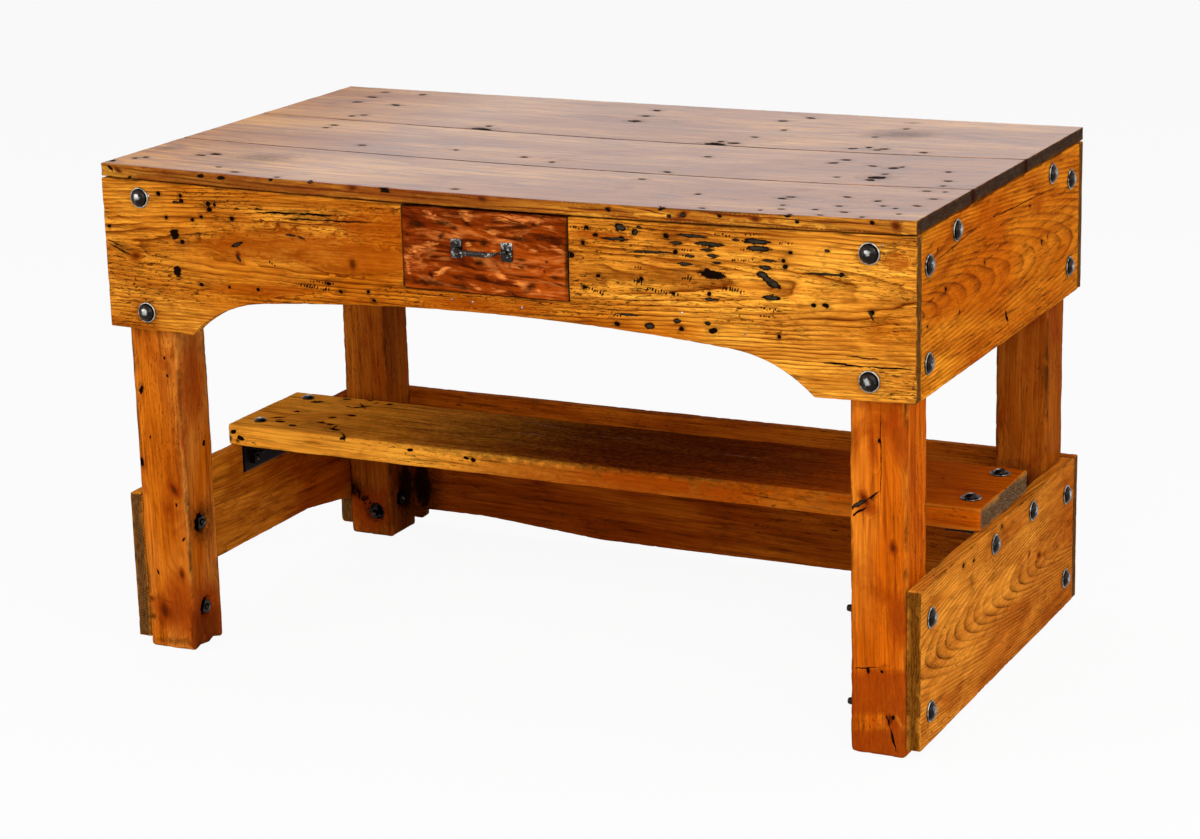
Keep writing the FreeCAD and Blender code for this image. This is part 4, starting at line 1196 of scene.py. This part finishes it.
def turned(profile, seat, outward, around, tilt=(0.0, 0.0)):
    """A profile of (radius, height) turned round an axis. Closed where it meets the axis."""
    side = unit(np.cross(outward, (0.31, 0.42, 0.85)))
    other = np.cross(outward, side)
    axis = unit(outward + side * tilt[0] + other * tilt[1])
    side = unit(side - axis * np.dot(side, axis))
    other = np.cross(axis, side)
    points = []
    rows = []
    for radius, height in profile:
        angles = 2 * math.pi * np.arange(around if radius > 1e-6 else 1) / around
        rows.append(range(len(points), len(points) + len(angles)))
        for angle in angles:
            points.append(seat + axis * height + (side * math.cos(angle) + other * math.sin(angle)) * radius)
    faces = []
    for low, high in zip(rows, rows[1:]):
        for k in range(around):
            after = (k + 1) % around
            ring = [low[k % len(low)], low[after % len(low)], high[after % len(high)], high[k % len(high)]]
            faces.append(list(dict.fromkeys(ring)))
    return np.array(points), [face for face in faces if len(face) > 2]


def metal_piece(name, parts, finish, node=None):
    """One piece made of several shapes of (points, faces, polish and painted highlight), in place of a node.
    """
    points, faces, polish_and_highlight = stacked(parts)
    thing = mesh_object(name, points, faces)
    values_on(thing, "polish_and_highlight", polish_and_highlight)
    if node:
        stand_in(thing, node, finish)
        return
    thing.data.materials.append(finish)
    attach(thing, "bench")


def bolt_profile(head_radius, length):
    """A carriage bolt from its dome to its threaded tail, seated on its washer."""
    shares = (0.14, 0.3, 0.46, 0.62, 0.76, 0.88, 0.96)
    root = SHANK_RADIUS - THREAD_DEPTH
    profile = [(0.0, HEAD_HEIGHT)]
    profile += [(head_radius * share, HEAD_HEIGHT * math.sqrt(1 - share**2.4)) for share in shares]
    profile += [(head_radius, 1.5), (head_radius + 0.1, 0.9), (head_radius - 0.5, 0.0)]
    profile += [(SHANK_RADIUS, 0.0), (SHANK_RADIUS, THREAD_LENGTH - length)]
    for k in range(int(THREAD_LENGTH / THREAD_PITCH) - 1):
        base = THREAD_LENGTH - length - k * THREAD_PITCH
        profile += [(SHANK_RADIUS, base - THREAD_PITCH * 0.25), (root, base - THREAD_PITCH * 0.75)]
    return profile + [(root, 1.2 - length), (SHANK_RADIUS - 1.6, -length), (0.0, -length)]


def bolts(node, axis, outward, seed, shine):
    """The bolts of a row, each with its dome on the side that the row faces, with a painted highlight a
    little high on the dome.
    """
    random = np.random.default_rng(seed)
    direction = GRAIN[axis] * outward
    parts = []
    for low, high, seat in seats(node):
        size = high - low
        radius = size[FLAT_AXES[axis]].max() / 2 * HEAD_SPREADS.get(node, HEAD_SPREAD)
        seat[axis] = (high if outward > 0 else low)[axis] - outward * HEAD_HEIGHT
        longer = STUB if node == "right_lower_board_bolts" and seat[1] < STUB_PLACE else 0.0
        length = size[axis] - HEAD_HEIGHT - TAIL_CUTS.get(node, 0.0) + longer
        profile = bolt_profile(radius, length)
        points, faces = turned(profile, seat, direction, 36, random.normal(0, 0.012, 2))
        # A painted highlight: a bright spot a little high on the dome, as strong as the row's shine.
        patch = seat + direction * HEAD_HEIGHT + np.array((-0.08, -0.08, 0.16)) * radius
        far = np.linalg.norm(points - patch, axis=1) / radius
        parts.append((points, faces, np.clip(1.25 - far * 1.9, 0, 1) * shine))
    return parts


def washers(node, axis, outward, seed, shine):
    """Stamped washers, a little dished, with a painted highlight on their rounded rims."""
    random = np.random.default_rng(seed)
    direction = GRAIN[axis] * outward
    inner = SHANK_RADIUS + 0.7
    parts = []
    for low, high, seat in seats(node):
        size = high - low
        radius = size[FLAT_AXES[axis]].max() / 2 * WASHER_SPREAD
        thick = size[axis]
        profile = (
            (inner, 0.0), (radius - 0.8, 0.0), (radius, 0.7), (radius, thick - 0.9), (radius - 0.9, thick),
            (radius - 1.8, thick), (radius - 2.6, thick - 0.5), (radius * 0.7, thick - 0.6),
            (inner, thick - 0.5), (inner, 0.0),
        )
        seat[axis] -= outward * thick / 2
        points, faces = turned(profile, seat, direction, 44, random.normal(0, 0.01, 2))
        height = (points - seat) @ direction
        out = np.linalg.norm(points - seat, axis=1)
        # A painted highlight round the outer rim, brightest at its outer face.
        rim = np.clip((out - radius + 2.2) / 1.2, 0, 1) * np.clip(height / thick, 0.1, 1)
        parts.append((points, faces, rim * shine))
    return parts


def nails():
    """Nail heads left in the front apron's face."""
    parts = []
    for u, v, radius in APRON_NAILS:
        place = spot(u, v, "front_apron", FRONT)
        place[2] -= settled("front_apron", place[0], place[1])
        size = radius * pixel_size(place) * 0.7
        head = ((0.0, 0.9), (size * 0.6, 0.7), (size, 0.0), (size, -1.5), (size * 0.3, -2.5), (0.0, -14.0))
        parts.append((*turned(head, place, -GRAIN[1], 16), 0.65))
    return parts


def painted(nodes, finish):
    """Gives solids that are shown as they are their material."""
    for node in nodes:
        materials = frame["nodes"][node].data.materials
        materials.clear()
        materials.append(finish)


def make_hardware():
    bolt = steel("bolt_iron", "241F1C", "BEBCB8", 0.24, 0.3)
    rim = steel("washer_iron", "1E1A18", "B4B0AA", 0.34, 0.4)
    plate = steel("bracket_iron", "1C1A19", "4C4844", 0.5)
    for seed, (row, (axis, outward)) in enumerate(ROWS.items()):
        # Painted highlights at full strength on the front and rear rows, weaker on the side rows and the
        # shelf's.
        shine = 1.0 if axis == 1 else 0.75
        for make, kind, finish, first in ((bolts, "_bolts", bolt, 80), (washers, "_washers", rim, 90)):
            node = row + kind
            metal_piece("worn_" + node, make(node, axis, outward, first + seed, shine), finish, node)
        painted([row + "_nuts"], rim)
    painted(("left_shelf_bracket", "right_shelf_bracket"), plate)
    metal_piece("apron_nails", nails(), bolt)


# The pull

PLATE_WIDTH = 21.5
PLATE_THICK = 2.4
BAR_RADIUS = 4.6
NECK_RADIUS = 2.3
ROOT_FLARE = 1.4
BAR_DROP = 1.5


def bow(low, high):
    """The pull's bar: its path from plate to plate and its thickness on the way."""
    start = np.array((low[0] + PLATE_WIDTH * 0.56, high[1] - 1.0, (low[2] + high[2]) / 2))
    end = np.array((high[0] - PLATE_WIDTH * 0.56, start[1], start[2]))
    t = np.linspace(0, 1, 49)
    near = np.minimum(t, 1 - t)
    reach = smooth_step(near, -0.05, 0.25) ** 1.1
    out = low[1] + BAR_RADIUS - start[1]
    path = start + np.outer(t, end - start) + np.outer(reach, (0, out, -BAR_DROP))
    swell = (BAR_RADIUS - NECK_RADIUS) * smooth_step(near, 0.08, 0.3)
    return path, NECK_RADIUS + swell + ROOT_FLARE * (1 - smooth_step(near, 0.0, 0.07))


def tube(path, radii, around=20):
    """A closed round bar along a path."""
    points = []
    for place, way, radius in zip(path, np.gradient(path, axis=0), radii):
        way = unit(way)
        side = unit(np.cross(way, (0.0, 0.3, 1.0)))
        other = np.cross(way, side)
        angles = np.linspace(0, 2 * math.pi, around, endpoint=False)
        points += [place + (side * math.cos(a) + other * math.sin(a)) * radius for a in angles]
    faces = [list(range(around)), list(range(len(points) - around, len(points)))]
    for low in range(0, len(points) - around, around):
        for k in range(around):
            after = low + (k + 1) % around
            faces.append([low + k, after, after + around, low + k + around])
    return np.array(points), faces


def plate(low, high, seed):
    """A hammered plate with soft arrises."""
    points, faces, _ = build_shell(rectangle(low, high, 1), 1, low[1], high[1], 0.5, 1.6, 1.6, [], seed)
    points[:, 1] += ripple(points, 9, seed) * 0.18 + 0.18
    return points, faces


def make_pull():
    """The bow pull on its two plates, with its screws, settled with the drawer; plates and bar carry painted
    highlights.
    """
    bright = steel("pull_iron", "2E2B29", "D8D6D2", 0.2, 0.12, 330.0)
    low, high = node_box("drawer_pull")
    front = high[1] - PLATE_THICK
    parts = []
    for seed, left in enumerate((low[0], high[0] - PLATE_WIDTH)):
        corners = np.array(((left, front, low[2]), (left + PLATE_WIDTH, high[1], high[2])))
        points, faces = plate(*corners, seed + 5)
        # Painted highlights: the plates brighter towards their top, over a random mottling.
        corner = np.clip((points[:, 2] - high[2] + 9) / 16, 0, 0.5)
        parts.append((points, faces, np.clip(ripple(points, 8, seed + 3) * 0.5 + corner, 0, 0.7)))
    points, faces = tube(*bow(low, high))
    # Painted highlights on the bar, a little in from both ends.
    away = np.abs(points[:, 0] - (low[0] + high[0]) / 2)
    parts.append((points, faces, 0.08 + 0.3 * np.exp(-((away - 27) / 9) ** 2)))
    heads = []
    for start, end, seat in seats("drawer_pull_screws"):
        radius = (end - start)[[0, 2]].max() / 2
        seat[1] = front
        profile = (
            (0.0, 0.8), (radius * 0.25, 0.5), (radius * 0.6, 1.3), (radius, 0.3), (radius * 0.9, -0.5),
            (1.6, -1.0), (1.4, front - end[1] + 2.0), (0.0, front - end[1]),
        )
        heads.append((*turned(profile, seat, -GRAIN[1], 20), 0.2))
    for node, shapes in (("drawer_pull", parts), ("drawer_pull_screws", heads)):
        for shape in shapes:
            shape[0][:, 2] -= DRAWER_DROP
        metal_piece("worn_" + node, shapes, bright, node)


# The wooden boards

PLANKS = (
    ("top_plank_front", (-0.33, 0.80, 0.02, 0.03)),
    ("top_plank_middle", (-0.02, 0.84, -0.015, 0.02)),
    ("top_plank_rear", (0.30, 0.79, 0.012, 0.03)),
)
PLANK_TONES = {
    "light": "D88E28", "mid": "9C5410", "deep": "3C1804", "end": "3A281C", "flush": "80340A",
    "ring": "6A2E08", "scuff": "F0A838", "gloss": 0.02, "coat": 0.78, "rough": 0.3, "contrast": 0.85,
    "dashes": 0.5, "wear": 0.1, "blotch": 0.55, "fade": -0.1, "coat_fade": (-0.72, -0.34, 0.3),
    "side_tone": 1.6, "side_coat": 0.0,
}
POST_TONES = {
    "light": "EE9428", "mid": "D0680C", "deep": "5E2002", "flush": "9C3A06", "ring": "8E3E06",
    "contrast": 0.6, "bands": 0.3, "fibre": 0.2, "wear": 0.45, "streaks": 0.5, "blotch": 0.85,
}
# Darker tones for the two rear posts: painted shade under the top.
SHADED_POST = {"light": "B86418", "mid": "8E3E06", "deep": "4A1A02", "side_tone": 0.85}
# For each post: its material's name, its seeds, the tree's heart, its tones and its net's step
POSTS = {
    "front_right_post": (
        "post_front_right", 1.2, 41, (0.70, -0.44, 0.02, 0.02), {"light": "F4922A", "mid": "CC5E08"}, 6.0),
    "front_left_post": (
        "post_front_left", 2.4, 42, (-0.66, -0.45, 0.015, -0.02),
        {"light": "FAA648", "mid": "CC680E", "side_tone": 0.86}, 6.0),
    "rear_left_post": ("post_rear_left", 3.6, 43, (-0.72, 0.29, 0.02, 0.02), SHADED_POST, 7.0),
    "rear_right_post": ("post_rear_right", 4.8, 44, (0.66, 0.30, -0.02, 0.02), SHADED_POST, 7.0),
}
# Darker tones for the left and rear lower boards: painted shade, as they stand in shade under the top.
SHADED_BOARD = {"light": "D07218", "mid": "9C4404", "deep": "501E02"}
PLAIN_TONES = {
    "light": "DCB478", "mid": "C2904E", "deep": "8A5A28", "flush": "B07838", "end": "A07844",
    "coat": 0.0, "gloss": 0.25, "rough": 0.6, "contrast": 0.5,
}


def make_planks():
    for seed, (node, heart) in enumerate(PLANKS):
        finish = wood("worktop_" + node, 0, 2, **PLANK_TONES, heart=heart, seed=float(seed + 1))
        board(node, TOP, finish, 20 + seed, seam_marks(node), uneven=0.12, step=8.0)


def make_aprons():
    front = wood(
        "apron_front", 0, 1, heart=(0.772, -0.3685, -0.015, -0.0048), bow=-0.04, seed=3.3, year=0.0054,
        warp=1.8, warp_scale=3.5, blotch=0.6, fade=0.12, light="FFAC38", mid="C86A0A", contrast=1.4,
        streaks=0.5, ring="803804", shiver=1.2, fibre=0.32, flush="A04404", speckle=0.565, dashes=0.9)
    marks = ladders("front_apron", FRONT, APRON_LADDERS, 17) + iron_marks("front_apron", FRONT)
    board("front_apron", FRONT, front, 31, marks, shaped=True, step=6.0)
    rear = wood("apron_rear", 0, 1, heart=(0.66, 0.36, 0.03, 0.04), seed=5.1)
    board("rear_apron", REAR, rear, 32)
    right = wood(
        "apron_right", 1, 0, heart=(0.735, 0.69, 0.03, 0.09), seed=7.7, warp=4.0, contrast=1.0, shiver=0.25,
        bands=0.26, fibre=0.14, light="FCA024", mid="C86208", ring="6A2A04", blotch=0.6, year=0.0062)
    board("right_apron", RIGHT, right, 33, iron_marks("right_apron", RIGHT), step=6.0)
    left = wood("apron_left", 1, 0, heart=(0.70, -0.68, -0.03, 0.07), seed=9.2, warp=4.0, contrast=0.75)
    board("left_apron", LEFT, left, 34)


def make_posts():
    for node, (name, place, seed, heart, tones, step) in POSTS.items():
        finish = wood(name, 2, 1, **{**POST_TONES, **tones}, heart=heart, seed=place)
        board(node, FRONT, finish, seed, pocket_marks(node), ease=5.0, step=step)


def make_lower_boards():
    # Painted light: the two lower side boards are lighter towards their front ends.
    right = wood(
        "lower_right", 1, 0, heart=(0.16, 0.68, 0.02, -0.08), seed=6.3, warp=5.5, contrast=1.0, wear=0.6,
        bands=0.24, fibre=0.2, year=0.0044, light="F09830", mid="B85A0C", ring="521E02", deep="3A1604",
        shiver=0.2, streaks=0.4, blotch=0.6, fade=-0.3, end="74420E")
    board("right_lower_board", RIGHT, right, 51, iron_marks("right_lower_board", RIGHT), step=6.0)
    left = wood(
        "lower_left", 1, 0, heart=(0.14, -0.80, 0.03, 0.05), seed=8.1, warp=4.5,
        **{**SHADED_BOARD, "light": "EC9426", "fade": -0.5})
    board("left_lower_board", RIGHT, left, 52, shaped=True)
    rear = wood("lower_rear", 0, 1, heart=(0.15, 0.50, 0.02, 0.03), seed=9.9, **SHADED_BOARD)
    board("rear_lower_board", FRONT, rear, 53, shaped=True)


def make_shelf():
    # Painted light and shade on the shelf: lighter towards its left end, and a broad dark patch over its
    # middle where the worktop shades it, laid on as a stain.
    finish = wood(
        "shelf", 0, 2, heart=(0.05, 0.22, 0.02, 0.02), seed=2.9, coat=0.006, rough=0.28, gloss=0.0,
        light="FFA632", mid="B85004", end="6A5038", fade=-0.6, contrast=0.55, bands=0.2, fibre=0.2,
        soil=0.2, dirt=0.2, blotch=0.4, streaks=0.8, side_tone=1.12, scuff="C0A090")
    middle = np.array((20.0, 56.0, 334.0))
    shade_under_top = Mark(middle, TOP, GRAIN[0], 470.0, 240.0, stain=0.68, soft=0.6, fine=False)
    board("foot_shelf", TOP, finish, 61, [shade_under_top], ease=3.6, corner=5.0)


def make_drawer():
    front = wood(
        "drawer_face", 0, 1, heart=(0.74, -0.47, 0.05, 0.03), seed=5.7, light="AC480A", mid="762602",
        deep="340C02", flush="6A2004", ring="5E1E04", year=0.006, blotch=0.8, contrast=0.5,
        scuff="F08C40", curl=1.6, streaks=0.8, bands=0.5, swirl=1.6, wear=0.05, soil=0.35)
    board("drawer_front", FRONT, front, 71, step=4.0, ease=1.1)
    long = wood("box_long", 1, 0, heart=(0.74, 0.10, 0.02, 0.02), seed=1.9, **PLAIN_TONES)
    wide = wood("box_wide", 0, 1, heart=(0.74, 0.10, 0.02, 0.02), seed=4.1, **PLAIN_TONES)
    flat = wood("box_flat", 0, 2, heart=(0.0, 0.70, 0.02, 0.02), seed=6.6, **PLAIN_TONES)
    inner_tones = {**PLAIN_TONES, "light": "B98A50", "mid": "9A6A34", "deep": "6A4018"}
    inner = wood("inner_long", 1, 0, heart=(0.78, 0.05, 0.02, 0.02), seed=8.8, **inner_tones)
    for node, face, finish, seed, ease, step, uneven in (
        ("left_drawer_side", LEFT, long, 72, 1.2, 9.0, 0.1),
        ("right_drawer_side", RIGHT, long, 73, 1.2, 9.0, 0.1),
        ("drawer_back", REAR, wide, 74, 1.2, 9.0, 0.1),
        ("drawer_bottom", TOP, flat, 75, 0.8, 9.0, 0.05),
        ("left_drawer_guide", RIGHT, inner, 76, 1.2, 11.0, 0.1),
        ("right_drawer_guide", LEFT, inner, 76, 1.2, 11.0, 0.1),
        ("left_drawer_runner", RIGHT, inner, 76, 1.2, 11.0, 0.1),
        ("right_drawer_runner", LEFT, inner, 76, 1.2, 11.0, 0.1),
    ):
        board(node, face, finish, seed, ease=ease, step=step, uneven=uneven)
    painted(("left_top_cleat", "right_top_cleat", "drawer_stops"), inner)


# Floor, light and camera

FLOOR_REACH = 30.0
# The share of the floor that glows for the rays that see it, so that it stays pale
FLOOR_GLOW = 0.93
SKY_STRENGTH = 0.2
# Name, place, aim, width, height and power of each soft light
LIGHTS = (
    ("key", (2.6, -3.4, 3.0), (0.0, 0.0, 0.5), 5.0, 4.0, 180),
    ("fill", (-3.2, -3.2, 2.4), (0.0, 0.0, 0.5), 5.0, 3.6, 96),
    ("side", (4.2, 1.0, 1.9), (0.4, 0.0, 0.4), 4.0, 3.0, 50),
    ("overhead", (0.0, 0.6, 3.6), (0.0, 0.0, 0.6), 4.0, 3.4, 38),
)


def camera():
    data = bpy.data.cameras.new("camera")
    data.sensor_width = SENSOR_WIDTH
    data.lens = FOCAL_PIXELS / PHOTO_WIDTH * SENSOR_WIDTH
    data.clip_end = 50.0
    thing = linked(bpy.data.objects.new("camera", data))
    turn = np.stack([CAMERA_RIGHT, CAMERA_UP, CAMERA_BACK], 1)
    thing.matrix_world = Matrix(turn.tolist()).to_4x4()
    thing.location = Vector(CAMERA_PLACE / METRE)
    bpy.context.scene.camera = thing


def seen_rays(paint):
    """1 for the rays that see the background straight or in a reflection."""
    path = paint.node("LightPath").outputs
    straight = paint.math("ADD", path["Is Camera Ray"], path["Is Glossy Ray"])
    return paint.math("ADD", straight, path["Is Transmission Ray"], clamp=True)


def floor():
    mesh = bpy.data.meshes.new("floor")
    corners = [(x * FLOOR_REACH, y * FLOOR_REACH, 0) for x, y in ((-1, -1), (1, -1), (1, 1), (-1, 1))]
    mesh.from_pydata(corners, [], [(0, 1, 2, 3)])
    thing = linked(bpy.data.objects.new("floor", mesh))
    paint = Paint(bpy.data.materials.new("floor_paint"))
    matt = paint.node("BsdfDiffuse", {"Color": (0.8, 0.8, 0.8, 1)}).outputs[0]
    glow = paint.node("Emission", {"Color": (1, 1, 1, 1), "Strength": 1.0}).outputs[0]
    both = paint.node("MixShader", (paint.times(seen_rays(paint), FLOOR_GLOW), matt, glow))
    mesh.materials.append(paint.output(both))


def world():
    paint = Paint(bpy.data.worlds.new("studio"))
    bpy.context.scene.world = paint.owner
    level = paint.span(seen_rays(paint), 0.0, 1.0, SKY_STRENGTH, 1.0)
    sky = paint.node("Background", {"Color": (1, 1, 1, 1), "Strength": level})
    paint.output(sky, "OutputWorld")


def lights():
    for name, place, aim, width, height, power in LIGHTS:
        data = bpy.data.lights.new(name, "AREA")
        data.shape = "RECTANGLE"
        data.size = width
        data.size_y = height
        data.energy = power
        thing = linked(bpy.data.objects.new(name, data))
        thing.location = place
        thing.rotation_euler = (Vector(aim) - Vector(place)).to_track_quat("-Z", "Y").to_euler()
        thing.visible_camera = False


camera()
floor()
world()
lights()
make_planks()
make_aprons()
make_posts()
make_lower_boards()
make_shelf()
make_drawer()
make_hardware()
make_pull()

bpy.context.scene.view_settings.view_transform = "Standard"
